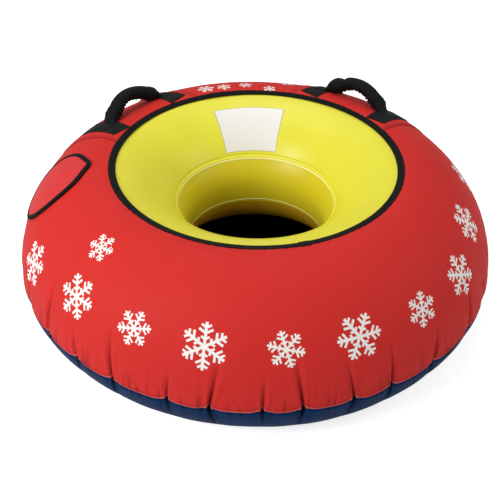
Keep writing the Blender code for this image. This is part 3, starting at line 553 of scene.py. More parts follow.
def beside_tuck(index, angle, arc):
    """The distance along the cloth from a tuck's own line, which leans a little."""
    lean = TUCK_LEAN * math.sin(5.1 * index) * np.abs(arc - SEAM_ARC) / OUTER_RADIUS
    return np.abs(turn_from(angle, TUCKS[index][0] + lean)) * radius_at(arc)


def fold_lines(angle, arc, wide):
    """1 along the bottom of each tuck, where the cloth meets itself, fading out toward the tuck's end."""
    lines = np.zeros_like(angle)
    for index, (_, length, _) in enumerate(TUCKS):
        fade = np.clip(1 - np.abs(arc - SEAM_ARC) / (0.8 * length), 0, 1) ** 0.6
        lines = np.maximum(lines, fade * bell(beside_tuck(index, angle, arc), wide))
    return lines


def gathers(angle, arc):
    """How the seam's tucks draw the cloth in and puff it out between them. A tuck is a sharp fold that
    widens with the distance from the seam, with a low swell on each side."""
    off = np.abs(arc - SEAM_ARC)
    below = np.where(arc > SEAM_ARC, 0.55, 1.0)
    wide = 0.0016 + 0.032 * off
    lift, nearest = np.zeros_like(angle), np.full_like(angle, 1.0)
    for index, (_, length, depth) in enumerate(TUCKS):
        away = beside_tuck(index, angle, arc)
        nearest = np.minimum(nearest, away)
        fade = np.clip(1 - off / (length * below), 0, 1)
        lift = lift - 1.15 * depth * bell(np.hypot(away, TUCK_CORE), wide, 1) * fade**1.2
        lift = lift + 0.3 * depth * bell(away - 2.8 * wide, 1.5 * wide) * fade
    return lift + (PUFF * (1 - bell(nearest, PUFF_REACH)) - SEAM_DRAW) * bell(off, SEAM_REACH, 1)


def seam_line(angle):
    """The seam sags between the tucks and wanders a little, as it was fed through the machine."""
    nearest = np.min([np.abs(turn_from(angle, at)) for at, _, _ in TUCKS], axis=0) * OUTER_RADIUS
    return 0.0014 * waves(angle, 0 * angle, (14, 34), 1.0, 31) - SAG * bell(nearest, SAG_REACH, 1)


def cover_lift(angle, arc):
    """How far the dressed cover stands off the plain ring."""
    rolled = -SEAM_ROLL * bell(arc - SEAM_ARC, 0.0026)
    slack = 0.0007 * waves(angle, arc, (3, 12), 0.5, 33) + 0.00025 * waves(angle, arc, (16, 40), 0.12, 34)
    drawn = bell(arc - OPENING_ARC - TAPE_PUCKER_AT, TAPE_PUCKER_REACH)
    pucker = drawn * TAPE_PUCKER * waves(angle, 0 * arc, (90, 150), 1.0, 35)
    return gathers(angle, arc) + rolled + slack + pucker


def cover(angle, arc, lift=0.0):
    """Points on the dressed cover, raised off it by lift."""
    return ring(angle, arc, cover_lift(angle, arc) + lift)


def panel_points(angle, arc):
    """Points of the cover with the seam's wandering line."""
    return cover(angle, arc + seam_line(angle) * bell(arc - SEAM_ARC, SEAM_REACH, 1))


# The printed snowflakes: angle round the ring, radius, half width and turn.
FLAKES = [
    (217.5, 0.394, 0.029, 10), (198.5, 0.4805, 0.046, 20), (337, 0.44, 0.043, 5), (1, 0.449, 0.04, 30),
    (105, 0.331, 0.02, 0), (97.5, 0.3285, 0.017, 25), (88.5, 0.334, 0.016, 10), (78.5, 0.3135, 0.015, 40),
    (72.5, 0.366, 0.02, 15),
]
BAND_RADIUS, BAND_FLAKES, BAND_START, BAND_PITCH, BAND_SIZES = 0.4655, 7, 219, 17, (0.043, 0.034)
for index in range(BAND_FLAKES):
    odd = index % 2
    FLAKES.append((BAND_START + BAND_PITCH * index + 0.5 * odd, BAND_RADIUS, BAND_SIZES[odd], 15 * index))

# A snowflake in half widths: half the width of its arms, then where each pair of side arms starts, its
# length and half its width. The side arms stand at 60 degrees to the arm.
ARM_HALF_WIDTH = 0.062
SIDE_ARMS = ((0.3, 0.2, 0.05), (0.54, 0.34, 0.052), (0.77, 0.24, 0.05))
SIDE_ALONG, SIDE_ACROSS = 0.5, 0.866


def flake_places(angle, arc):
    """Each point's place on the nearest printed figure, in half widths, with its distance from the middle."""
    best = np.full(angle.shape, 2.0)
    spot = np.zeros(angle.shape + (3,))
    for at, reach, size, turn in FLAKES:
        across = turn_from(angle, math.radians(at)) * radius_at(arc) / size
        along = (arc - arc_at_radius(reach)) / size
        cos, sin = math.cos(math.radians(turn)), math.sin(math.radians(turn))
        distance = np.hypot(across, along)
        nearer = distance < best
        best = np.minimum(best, distance)
        turned = np.stack([across * cos - along * sin, across * sin + along * cos, distance], -1)
        spot[nearer] = turned[nearer]
    spot[..., 2] = best
    return spot


def printed_figure(tree):
    """The white of the six-armed figures: 1 on the ink and 0 off it, from each point's place on the figure.
    Every sum has its result's name, what is done, and names of earlier results or numbers."""
    spot = add(tree, "SeparateXYZ", {0: (add(tree, "Attribute", attribute_name="flake"), "Vector")})
    found = {"x": (spot, "X"), "y": (spot, "Y"), "away": (spot, "Z")}
    sums = [
        ("far", "POWER", "x", 2.0), ("up", "POWER", "y", 2.0),
        ("far", "ADD", "far", "up"), ("far", "SQRT", "far"),
        ("turn", "ARCTAN2", "y", "x"), ("turn", "PINGPONG", "turn", math.pi / 6),
        ("along", "COSINE", "turn"), ("along", "MULTIPLY", "far", "along"),
        ("beside", "SINE", "turn"), ("beside", "MULTIPLY", "far", "beside"),
        ("ink", "LESS_THAN", "beside", ARM_HALF_WIDTH),
    ]
    for start, reach, half in SIDE_ARMS:
        sums += [
            ("out", "SUBTRACT", "along", start),
            ("leg", "MULTIPLY", "beside", SIDE_ACROSS), ("leg", "MULTIPLY_ADD", "out", SIDE_ALONG, "leg"),
            ("off", "MULTIPLY", "beside", -SIDE_ALONG), ("off", "MULTIPLY_ADD", "out", SIDE_ACROSS, "off"),
            ("off", "ABSOLUTE", "off"), ("on", "LESS_THAN", "off", half),
            ("near", "LESS_THAN", "leg", reach), ("on", "MULTIPLY", "on", "near"),
            ("past", "GREATER_THAN", "leg", 0.0), ("on", "MULTIPLY", "on", "past"),
            ("ink", "MAXIMUM", "ink", "on"),
        ]
    sums += [("whole", "LESS_THAN", "away", 1.0), ("ink", "MULTIPLY", "ink", "whole")]
    for name, operation, *terms in sums:
        inputs = {number: found.get(term, term) for number, term in enumerate(terms)}
        found[name] = add(tree, "Math", inputs, operation=operation)
    return found["ink"]


def woven(name, colours, speck_and_fold_shade, hem_highlight_colour, yarn, roughness, gloss=0.1, figures=False):
    """Coated woven cloth: two thread directions in relief, an uneven dye with darker specks, painted shade in
    the folds and in fine wrinkles near the seam, a painted highlight along the hem's fold, and painted shade
    that turns the back faces near black. Real 600-denier yarns lie 0.4 mm apart. They are drawn at the given
    spacing so that a near view shows them."""
    material, tree = new_material(name)
    place = add(tree, "UVMap", uv_map="cloth")
    warp, weft = [
        (add(tree, "TexWave", {"Vector": place, "Scale": WAVE_LENGTH / yarn}, bands_direction=way), "Fac")
        for way in ("X", "Y")
    ]
    threads = add(tree, "Math", {0: warp, 1: weft}, operation="ADD")
    cloud = add(tree, "TexNoise", {"Vector": place, "Scale": 6.0, "Detail": 5.0})
    slub = add(tree, "TexNoise", {"Vector": place, "Scale": 260.0, "Detail": 2.0})
    speck = add(tree, "Math", {0: slub, 1: 0.3}, operation="MULTIPLY")
    crease_shade, near, hem_highlight = [
        (add(tree, "Attribute", attribute_name=mark), "Fac") for mark in ("crease_shade", "near_seam", "hem_highlight")
    ]
    drawn = add(tree, "Mapping", {"Vector": place, "Scale": (1, 0.13, 1)})
    streaks = add(tree, "TexNoise", {"Vector": drawn, "Scale": 95.0, "Detail": 2.0, "Roughness": 0.45})
    # Painted shade in the fine wrinkles near the seam; the same streaks raise the bump.
    wrinkle_shade = add(tree, "MapRange", {"Value": streaks, "From Min": 0.47, "From Max": 0.34, "To Max": 0.8})
    wrinkle_shade, pulled = [add(tree, "Math", {0: part, 1: near}, operation="MULTIPLY") for part in (wrinkle_shade, streaks)]
    # The specks take the darker tone too. Painted shade darkens the creases, a painted highlight lightens the
    # hem's fold, and painted shade turns the back faces near black.
    layers = [(cloud, colours[1]), (speck, speck_and_fold_shade), (crease_shade, speck_and_fold_shade)]
    if figures:
        layers.append((printed_figure(tree), "#F7F5F0"))
    layers += [(wrinkle_shade, speck_and_fold_shade), (hem_highlight, hem_highlight_colour), ((add(tree, "NewGeometry"), "Backfacing"), "#050505")]
    dye = linear(colours[0])
    for share, colour in layers:
        dye = add(tree, "Mix", {0: share, 6: dye, 7: linear(colour)}, data_type="RGBA")
    height = add(tree, "Math", {0: slub, 1: 0.5, 2: threads}, operation="MULTIPLY_ADD")
    bump = add(tree, "Bump", {"Height": height, "Strength": 0.16, "Distance": yarn / 5})
    rough = add(tree, "MapRange", {"Value": cloud, "To Min": roughness - 0.06, "To Max": roughness + 0.06})
    shader = add(tree, "BsdfPrincipled", {
        "Base Color": dye,
        "Roughness": rough,
        "Normal": add(tree, "Bump", {"Height": pulled, "Strength": 0.7, "Distance": 0.003, "Normal": bump}),
        "Specular IOR Level": gloss,
    })
    add(tree, "OutputMaterial", {"Surface": shader})
    return material


# The red cloth's dye, then the darker tone of its specks and its painted fold shade, its painted hem
# highlight, its yarn spacing and its roughness.
RED_DYES, RED_CLOTH = ("#E13630", "#DB312C"), ("#7A1016", "#EE8078", 0.0016, 0.55)
NAVY_DYES, NAVY_CLOTH = ("#053566", "#042E5A"), ("#02070F", "#0C3566", 0.002, 0.45)
red_cloth = woven("PU-coated oxford polyester red", RED_DYES, *RED_CLOTH, figures=True)
navy_cloth = woven("PVC-coated polyester navy", NAVY_DYES, *NAVY_CLOTH, gloss=0.06)

round_angles = cover_angles(COVER_COLUMNS)
near_tape, near_seam = OPENING_ARC + 0.03, SEAM_ARC - 0.012
panel_arcs = even_runs(OPENING_ARC, (near_tape, 20), (near_seam, 124), (SEAM_ARC, 14))
angle, arc = np.meshgrid(round_angles, panel_arcs)
points = panel_points(angle, arc)
kept = round_hole(points, WINDOW_RADIUS)
off = SEAM_ARC - arc
# Painted shade darkens the folds and a faint line above the seam where the cloth is turned in, and a painted
# highlight lightens the hem's fold.
painted_fold_shade = 0.85 * np.clip(-gathers(angle, arc) / 0.0055, 0, 1) ** 1.5
painted_fold_shade = np.clip(painted_fold_shade + 0.2 * bell(off - 0.0085, 0.0036, 4), 0, 1)
marks = {
    "crease_shade": np.maximum(painted_fold_shade, 0.95 * fold_lines(angle, arc, 0.0024)),
    "flake": flake_places(angle, arc),
    "near_seam": bell(off, 0.026, 1),
    # Painted highlight along the hem's fold.
    "hem_highlight": 0.75 * bell(off - 0.0032, 0.0016),
}
cover_top = sheet_mesh("cover_top", points, flat_cloth(angle, arc), True, kept, marks)
fit_piece(cover_top, red_cloth, "cover_cloth_red", "cover_top_panel")

# The base panel's side runs down from the seam and flattens onto the floor, and its middle closes the hole.
angle, arc = np.meshgrid(round_angles, even_runs(SEAM_ARC, (SEAM_ARC + FINE_RUN, 12), (ARCS[-1], 60)))
free = smooth((ARCS[-1] - arc) / 0.06)[..., None]
side_points = panel_points(angle, arc) * free + ring(angle, arc) * (1 - free)
floor_angle, floor_radius = np.meshgrid(round_angles, np.linspace(FLAT_OUTER_RADIUS, 0, 60)[1:])
ripple = 0.0012 * np.abs(waves(floor_angle, floor_radius, (2, 7), 0.12, 41))
ripple = ripple * smooth((FLAT_INNER_RADIUS - floor_radius) / 0.1) * smooth(floor_radius / 0.05)
disc = around(floor_angle, floor_radius, ripple)
points = np.concatenate([side_points, disc])
points[..., 2] = np.maximum(points[..., 2], 0)
# Painted shade darkens the navy in the tucks' folds.
painted_fold_shade = np.maximum(0.7 * np.clip(-gathers(angle, arc) / 0.006, 0, 1), 0.95 * fold_lines(angle, arc, 0.004))
marks = {"crease_shade": painted_fold_shade, "near_seam": bell(arc - SEAM_ARC, 0.02, 1)}
marks = {mark: np.concatenate([values, 0 * ripple]) for mark, values in marks.items()}
cloth = np.concatenate([flat_cloth(angle, arc), looped(disc)[..., :2]])
cover_base = sheet_mesh("cover_base", points, cloth, marks=marks)
close_middle(cover_base)
fit_piece(cover_base, navy_cloth, "base_cloth_navy", "cover_base_panel")


# Bindings
# Woven black polyester tape, 31 mm wide before it is folded, is sewn round the cover's inner edge. A
# narrower tape binds the two panels' edges inside the seam, where it doesn't show.

OPENING_TAPE_WIDTH = 0.0135
TAPE_LAP_START, TAPE_LAP, TAPE_LAP_EDGE = math.radians(279), 0.075, 0.004
SEAM_ALLOWANCE, SEAM_TAPE_WIDTH, SEAM_TAPE_HALF = 0.009, 0.006, 0.0019
SEAM_TAPE_INSET = SEAM_ALLOWANCE + 0.0095


def tape_ribs(name, colours, pitch, roughness, sheen=0.02, diagonal=0.0):
    """Black woven narrow goods, dull and slightly fuzzy: ribs across the tape, drawn coarse enough to
    show."""
    material, tree = new_material(name)
    place = add(tree, "UVMap", uv_map="cloth")
    turned = add(tree, "Mapping", {"Vector": place, "Rotation": (0, 0, diagonal)})
    scale = WAVE_LENGTH / pitch
    ribs = add(tree, "TexWave", {"Vector": turned, "Scale": scale, "Distortion": 0.6, "Detail": 1.0})
    cross = add(tree, "TexWave", {"Vector": place, "Scale": scale}, bands_direction="Y")
    weave = add(tree, "Math", {0: (ribs, "Fac"), 1: (cross, "Fac")}, operation="ADD")
    cloud = add(tree, "TexNoise", {"Vector": place, "Scale": 40.0, "Detail": 4.0})
    fuzz = add(tree, "TexNoise", {"Vector": place, "Scale": 900.0})
    dye = add(tree, "Mix", {0: cloud, 6: linear(colours[0]), 7: linear(colours[1])}, data_type="RGBA")
    shade = add(tree, "MapRange", {"Value": weave, "From Max": 2.0, "To Min": 0.6, "To Max": 1.0})
    height = add(tree, "Math", {0: fuzz, 1: 0.5, 2: weave}, operation="MULTIPLY_ADD")
    shader = add(tree, "BsdfPrincipled", {
        "Base Color": add(tree, "Mix", {0: shade, 6: linear("#08090A"), 7: dye}, data_type="RGBA"),
        "Roughness": roughness,
        "Normal": add(tree, "Bump", {"Height": height, "Strength": 0.5, "Distance": pitch / 5}),
        "Specular IOR Level": 0.12,
        "Sheen Weight": sheen,
    })
    add(tree, "OutputMaterial", {"Surface": shader})
    return material


def tape_lap(angle):
    """1 where the tape's end lies over its start."""
    end = TAPE_LAP_START + TAPE_LAP
    return smooth((angle - TAPE_LAP_START) / TAPE_LAP_EDGE) * smooth((end - angle) / TAPE_LAP_EDGE)


black_tape = tape_ribs("woven polyester tape black", ("#0B0C0C", "#121414"), 0.0016, 0.72)

# The folded tape's section, from its top edge round the cover's edge to its lower edge: inward from the
# cover's edge, and up off the cover.
width = OPENING_TAPE_WIDTH
fold = np.radians(np.linspace(90, 270, 9))
section = [(width + 0.0004, 0.0), (width, 0.0007), (width - 0.0012, 0.0009)]
section += [(width * share, 0.0011) for share in (0.75, 0.5, 0.25)]
section += [(0.0013 * math.cos(a) - 0.0003, 0.0014 * math.sin(a) - 0.0004) for a in fold]
section += [(width * share, -0.0018) for share in (0.25, 0.6, 0.92)] + [(width, -0.0011)]
section = np.array(section)[::-1]
angle, row = np.meshgrid(even_angles(1080), np.arange(len(section)))
across, rise = section[row, 0], section[row, 1]
drawn = 0.00022 * waves(angle, 0 * angle, (150, 230), 1.0, 51) * (rise > 0.0005)
is_edge = across > 0.008
wander = 0.0005 * waves(angle, 0 * angle, (4, 16), 1.0, 52) * is_edge
wander = wander + tape_lap(angle) * np.where(is_edge, 0.0016, -0.0006)
rise = rise + 0.0008 * tape_lap(angle) * (rise > 0.0003) + drawn
on_cover = cover_lift(angle, OPENING_ARC + across) * (across > 0.004)
points = ring(angle, OPENING_ARC + across + wander, on_cover + rise)
length = running_length(np.hypot(*np.diff(section, axis=0).T))
opening_binding = sheet_mesh("opening_binding", points, flat_cloth(angle, length[row]))
fit_piece(opening_binding, black_tape, "binding_tape", "seat_opening_binding")

fold = np.radians(np.linspace(90, 270, 7))
section = [(SEAM_TAPE_WIDTH, SEAM_TAPE_HALF)]
section += [(SEAM_TAPE_HALF * math.cos(a), SEAM_TAPE_HALF * math.sin(a)) for a in fold]
section = np.array(section + [(SEAM_TAPE_WIDTH, -SEAM_TAPE_HALF)])[::-1]
angle, row = np.meshgrid(even_angles(360), np.arange(len(section)))
points = around(angle, OUTER_RADIUS - SEAM_TAPE_INSET + section[row, 0], SEAM_HEIGHT + section[row, 1])
seam_binding = sheet_mesh("seam_binding", points, flat_cloth(angle, section[row, 0]))
fit_piece(seam_binding, black_tape, "binding_tape", "perimeter_seam_tape")


# Handle backings and patches
# A second layer of the red cloth, turned under at its edges, spreads each handle's pull. On it lie the
# strap's ends, each under a black webbing patch that is sewn down round its edge and crossed in the middle.

STRAP_BOTTOM, STRAP_TOP, PATCH_GAP, PATCH_THICKNESS = 0.0028, 0.0044, 0.0007, 0.0013
BACKING_HALF_WIDTH, BACKING_FLARE, BACKING_REACH, BACKING_TURNED = 0.131, 0.022, 0.43, 0.0014
BACKING_ROWS = (0.0035, 0.0085)
PATCH_LENGTH, PATCH_WIDTH, PATCH_OFFSET, WEBBING_WIDTH = 0.106, 0.049, 0.092, 0.038
PATCH_NEAR, STRAP_UNDER_PATCH, PATCH_STEP = PATCH_OFFSET - PATCH_WIDTH / 2, 0.044, 0.005
HANDLE_REACH, LOOP_TILT = 0.3474, math.radians(18)


def handle_axes(side):
    """A handle's pivot and its directions: out from the middle, across to the front, and up its loop."""
    pivot = np.array(JOINTS[side + "_handle_swing"]["pos_m"])
    out = np.array([pivot[0], pivot[1], 0]) / math.hypot(pivot[0], pivot[1])
    across = np.array([-out[1], out[0], 0])
    across = across if across[1] < 0 else -across
    return pivot, out, across, out * math.sin(LOOP_TILT) + np.array([0, 0, math.cos(LOOP_TILT)])


def over_cover(axes, along, sideways, lift):
    """Points over the cover at plan distances out and sideways from the handle's own line."""
    _, out, across, _ = axes
    along, sideways, lift = np.broadcast_arrays(along, sideways, lift)
    x, y, _ = np.moveaxis(along[..., None] * out + sideways[..., None] * across, -1, 0)
    return cover(np.arctan2(y, x), arc_at_radius(np.hypot(x, y)), lift)


def looks_down(rows):
    """Whether the faces of a grid of points look down."""
    return np.cross(rows[-1, 0] - rows[0, 0], rows[0, -1] - rows[0, 0])[2] <= 0


def rim(shares, width):
    """1 in the middle of a run from 0 to 1 and falling to 0 at its two ends, over a share of its width."""
    edge = np.minimum(shares, 1 - shares)
    return np.sqrt(np.clip(1 - (1 - np.clip(edge / width, 0, 1)) ** 2, 0, 1))


def eased(count):
    """Shares from 0 to 1 that crowd toward both ends."""
    even = np.linspace(-1, 1, count)
    return (np.sign(even) * (1 - (1 - np.abs(even)) ** 1.8) + 1) / 2


def sewn_sheet(name, axes, along, sideways, bottom, thick, rim_width, marks=None):
    """A flat piece sewn on the cover: a crowned top whose edge comes down all round."""
    edge = rim(eased(along.shape[0]), rim_width)[:, None] * rim(eased(along.shape[1]), rim_width)
    points = over_cover(axes, along, sideways, bottom + thick * edge)
    cloth = np.stack(np.broadcast_arrays(sideways, along), -1)
    if looks_down(points):
        points, cloth = points[:, ::-1], cloth[:, ::-1]
        marks = {mark: values[:, ::-1] for mark, values in (marks or {}).items()}
    return sheet_mesh(name, points, cloth, closed=False, marks=marks)


def patch_bottom(along, away):
    """How high a patch's underside lies over the cover: it steps up over the strap's end."""
    over = smooth((WEBBING_WIDTH / 2 + 0.004 - np.abs(along - HANDLE_REACH)) / PATCH_STEP)
    over = over * smooth((PATCH_NEAR + STRAP_UNDER_PATCH - away) / PATCH_STEP)
    return STRAP_BOTTOM - 0.0008 + (STRAP_TOP - STRAP_BOTTOM + PATCH_GAP) * over


WEBBING_BLACKS, TWILL = ("#111312", "#181B1B"), math.radians(40)
webbing = tape_ribs("polypropylene webbing black", WEBBING_BLACKS, 0.0022, 0.62, diagonal=TWILL)
backing_cloth = woven("PU-coated oxford polyester red backing", RED_DYES, *RED_CLOTH)

for side in ("left", "right"):
    axes = handle_axes(side)
    rows, columns = eased(70)[:, None], eased(120)[None, :]
    half = BACKING_HALF_WIDTH + BACKING_FLARE * rows
    sideways = half * (2 * columns - 1)
    start = np.sqrt((OPENING_RADIUS + 0.0125) ** 2 - sideways**2)
    along = start + (BACKING_REACH - start) * rows
    slack = 0.0003 * waves(along * 9, sideways, (1, 5), 0.07, 61)
    inset = np.minimum(half - np.abs(sideways), BACKING_REACH - along)
    sewn = sum(bell(inset - row, 0.0013) for row in BACKING_ROWS)
    # Painted shade along the turned-under edge and in the grooves of the two stitch rows.
    painted_fold_shade = {"crease_shade": np.clip(0.9 * bell(inset, 0.0012) + 0.55 * sewn, 0, 1)}
    thick = BACKING_TURNED + slack - 0.0005 * sewn
    backing = sewn_sheet(side + "_backing", axes, along, sideways, CLEARANCE, thick, 0.03, painted_fold_shade)
    fit_piece(backing, backing_cloth, "cover_cloth_red", side + "_handle_backing")
    for end, sign in (("front", 1), ("rear", -1)):
        rows, columns = eased(72)[:, None], eased(44)[None, :]
        along, away = np.broadcast_arrays(
            HANDLE_REACH + PATCH_LENGTH * (rows - 0.5), PATCH_NEAR + PATCH_WIDTH * columns
        )
        low = patch_bottom(along, away)
        patch = sewn_sheet(f"{side}_{end}_patch", axes, along, sign * away, low, PATCH_THICKNESS, 0.05)
        fit_piece(patch, webbing, "webbing", f"{side}_handle_{end}_patch")


# Grab handles
# Each is a strap that runs from patch to patch inside a foam tube, with a nylon sleeve gathered over the
# foam. The sleeve's ends are flattened and sewn down with the strap. The loop swings on its flexible feet.

SLEEVE_RADIUS, LOOP_HALF_SPAN, LOOP_BOW, LOOP_SWELL = 0.0155, 0.048, 0.016, 0.0018
# Up each foot: sideways from the loop's middle, height over the cover, and half the sleeve's height and
# half its width.
FOOT = (
    (0.084, 0.0044, 0.0013, 0.0184), (0.0785, 0.0047, 0.0016, 0.0184), (0.0742, 0.0066, 0.0042, 0.0184),
    (0.0706, 0.0102, 0.0096, 0.0181), (0.0664, 0.0138, 0.0138, 0.0174), (0.0602, 0.0172, 0.0156, 0.0164),
)
LEFT_SLUMP, PATH_POINTS, SLEEVE_SIDES, FOAM_SIDES = 0.006, 300, 72, 32
SLEEVE_CLOTH, WEBBING_THICKNESS, SLEEVE_WALL, FOAM_START = 0.0005, 0.0016, 0.005, 0.036


def loop_path(axes, count, slump):
    """The grip's middle line from patch to patch, with half its height and half its width at each point.
    Slump is how far its top has slid toward the front."""
    pivot, out, across, rise = axes
    half_turn = 2 * math.atan(LOOP_BOW / LOOP_HALF_SPAN)
    radius = (LOOP_HALF_SPAN**2 + LOOP_BOW**2) / (2 * LOOP_BOW)
    feet = [
        [
            [*(over_cover(axes, HANDLE_REACH, end * sideways, 0.0) + rise * lift), tall, wide]
            for sideways, lift, tall, wide in FOOT
        ]
        for end in (1, -1)
    ]
    loop = []
    for turn in np.linspace(half_turn, -half_turn, 13):
        top = 1 - (turn / half_turn) ** 2
        place = pivot + across * (radius * math.sin(turn) + slump * top)
        place = place + rise * (radius * math.cos(turn) - radius + LOOP_BOW + 0.0012 * top)
        loop.append([*place, SLEEVE_RADIUS - LOOP_SWELL * top, SLEEVE_RADIUS + LOOP_SWELL * (1 - top)])
    stations = np.array(feet[0] + loop + feet[1][::-1])
    reach = running_length(np.linalg.norm(np.diff(stations[:, :3], axis=0), axis=1))
    fine = np.linspace(0, reach[-1], count)
    line = np.stack([np.interp(fine, reach, stations[:, k]) for k in range(5)], axis=1)
    for _ in range(60):
        line[1:-1] = (line[:-2] + 2 * line[1:-1] + line[2:]) / 4
    return line[:, :3], line[:, 3], line[:, 4], fine


def tube_round(axes, line, tall, wide, ruffle):
    """Points round a middle line. Tall is along the loop's plane, and the side at 0 degrees looks out."""
    _, _, across, rise = axes
    heading = np.gradient(line, axis=0)
    heading /= np.linalg.norm(heading, axis=1)[:, None]
    level = np.cross(across, rise)
    outer = np.cross(heading, level)
    half_way = len(line) // 2
    if (line[half_way] - line.mean(axis=0)) @ outer[half_way] < 0:
        outer = -outer
    turns = even_angles(ruffle.shape[1])
    upward = np.cos(turns) * (tall[:, None] + ruffle)
    sideways = np.sin(turns) * (wide[:, None] + ruffle)
    return line[:, None] + outer[:, None] * upward[..., None] + level * sideways[..., None]


def gathered(along, turns, length, seed):
    """Ruffles of a gathered sleeve: small sharp folds that fork and run out, deep on the inside of the bend
    and at the feet, and faint on the outside where the cloth is pulled over the foam."""
    chance = np.random.default_rng(seed)
    total, fade = np.zeros(np.broadcast(along, turns).shape), 0
    for _ in range(7):
        pitch = chance.uniform(0.006, 0.013)
        phase, bend, twist, at = chance.uniform(0, TURN, 4)
        wander = 1.3 * np.cos(turns + bend) + 0.9 * np.cos(2 * turns + twist)
        here = 0.55 + 0.45 * np.cos(turns + at + 40 * along)
        total = total + here * (0.62 - np.abs(np.sin(math.pi * along / pitch + phase + wander)))
        fade = fade + here
    inside = smooth(0.62 - 0.62 * np.cos(turns))
    feet = bell(np.minimum(along, length - along) - 0.024, 0.013)
    return -total / fade * (0.0005 + 0.0078 * inside**1.6 + 0.0018 * feet)


sleeve_nylon = tape_ribs("gathered nylon cloth black", ("#090A0A", "#0F1111"), 0.0014, 0.55)

# Closed-cell foam: round cells of 1.1 mm in low relief, dull all over.
foam, tree = new_material("polyethylene foam grey")
cells = add(tree, "TexVoronoi", {"Vector": (add(tree, "TexCoord"), "Object"), "Scale": 900.0})
shader = add(tree, "BsdfPrincipled", {
    "Base Color": add(tree, "Mix", {0: cells, 6: linear("#7C7C7A"), 7: linear("#8B8B89")}, data_type="RGBA"),
    "Roughness": 0.9,
    "Normal": add(tree, "Bump", {"Height": cells, "Strength": 0.4, "Distance": 0.0004}),
})
add(tree, "OutputMaterial", {"Surface": shader})

for side, slump, seed in (("left", LEFT_SLUMP, 71), ("right", 0.0, 72)):
    body = side + "_handle"
    axes = handle_axes(side)
    pivot, out, across, rise = axes
    line, tall, wide, along = loop_path(axes, PATH_POINTS, slump)
    turns = even_angles(SLEEVE_SIDES)
    length = along[-1]
    ruffle = gathered(along[:, None], turns, length, seed)
    if side == "right":
        # Its rear foot is bunched up: a bulge with a nip above it.
        bulge = bell(length - along - 0.038, 0.011) - 1.2 * bell(length - along - 0.057, 0.005)
        ruffle = ruffle + 0.0034 * bulge[:, None] * (0.6 + 0.4 * np.cos(turns))
    held = smooth(np.minimum(along, length - along) / 0.02)[:, None]
    points = tube_round(axes, line, tall, wide, ruffle * held)
    cloth = np.stack(np.broadcast_arrays(np.append(turns, TURN) * SLEEVE_RADIUS, along[:, None]), -1)
    k = PATH_POINTS // 2
    if np.cross(points[k + 1, 0] - points[k, 0], points[k, 1] - points[k, 0]) @ (points[k, 0] - line[k]) < 0:
        points, cloth = points[::-1], cloth[::-1]
    sleeve = sheet_mesh(side + "_sleeve", points, cloth)
    fit_piece(sleeve, sleeve_nylon, "grip_cloth", body + "_sleeve", body=None)

    inner = (along > FOAM_START) & (along < length - FOAM_START)
    smooth_side = np.zeros((inner.sum(), FOAM_SIDES))
    core = tube_round(axes, line[inner], tall[inner] - SLEEVE_WALL, wide[inner] - SLEEVE_WALL, smooth_side)
    padding = sheet_mesh(side + "_foam", core, np.zeros((len(core), FOAM_SIDES + 1, 2)))
    fit_piece(padding, foam, "padding_foam", body + "_padding", body=body)

    # The strap narrows where it is folded to fit in the foam.
    narrow = np.interp(tall, (0.0016, 0.012), (1.0, 0.34))[:, None, None]
    half = np.array([-1, 1])[:, None] * (WEBBING_WIDTH / 2 - 0.0035) * np.cross(across, rise)
    cloth = np.stack(np.broadcast_arrays(np.array([0, WEBBING_WIDTH]), along[:, None]), -1)
    strap = sheet_mesh(side + "_strap", line[:, None] + half * narrow, cloth, closed=False)
    ends = (body + "_front_strap_end", body + "_rear_strap_end")
    fit_piece(strap, webbing, "webbing", body + "_webbing", *ends, body=None)

    for piece, thickness, offset in ((sleeve, SLEEVE_CLOTH, -1), (strap, WEBBING_THICKNESS, 0)):
        layer = piece.modifiers.new("cloth thickness", "SOLIDIFY")
        layer.thickness, layer.offset = thickness, offset
        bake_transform(piece)


# Valve flap
# An oval of the red cloth, doubled and bound with black tape, that hides the valve. It is sewn to the
# cover at its inner point and held down by a patch of hook tape on it and one of loop tape on the cover.

VALVE_ARC = OPENING_ARC + (SEAM_ARC - OPENING_ARC) * 3 / 7
FLAP_ARC = VALVE_ARC + 0.001
FLAP_HALF_LENGTH, FLAP_HALF_WIDTH, FLAP_POINT, FLAP_POINT_SPREAD = 0.0885, 0.0785, 0.0088, math.radians(15)
FLAP_TAPE_WIDTH, FLAP_CLOTH, FLAP_BEND = 0.0088, 0.0012, 0.016
FLAP_EDGE_LIFT, FLAP_REST_LIFT, FLAP_CROWN_LIFT = 0.0024, 0.0036, 0.0062
STRIP_ARC, STRIP_LENGTH, STRIP_WIDTH = 0.17605, 0.04, 0.02
FACING_WIDTH = 0.012


def on_slope(down, sideways, lift):
    """Points of the flap's own flat shape laid on the dressed cover."""
    arc = FLAP_ARC + down
    return cover(VALVE_ANGLE - sideways / radius_at(arc), arc, lift)


def flap_outline(turns):
    """The flap's edge, down the slope and sideways: an oval that comes to a point at half a turn."""
    reach = FLAP_HALF_LENGTH + FLAP_POINT * bell(turn_from(turns, math.pi), FLAP_POINT_SPREAD)
    return reach * np.cos(turns), FLAP_HALF_WIDTH * np.sin(turns)


def flap_inset(turns, inset):
    """Points of the flap's flat shape at a distance in from its edge."""
    down, sideways = flap_outline(turns)
    in_down, in_side = -np.gradient(sideways, axis=-1), np.gradient(down, axis=-1)
    size = np.hypot(in_down, in_side) * np.sign(-(in_down * down + in_side * sideways))
    return down + in_down / size * inset, sideways + in_side / size * inset


def flap_lift(share):
    """The flap's height over the cover, from its middle at 0 to its edge at 1."""
    rise = (FLAP_REST_LIFT - FLAP_EDGE_LIFT) * smooth((1 - share) / 0.2)
    return FLAP_EDGE_LIFT + rise + (FLAP_CROWN_LIFT - FLAP_REST_LIFT) * smooth(1 - (share / 0.62) ** 2)


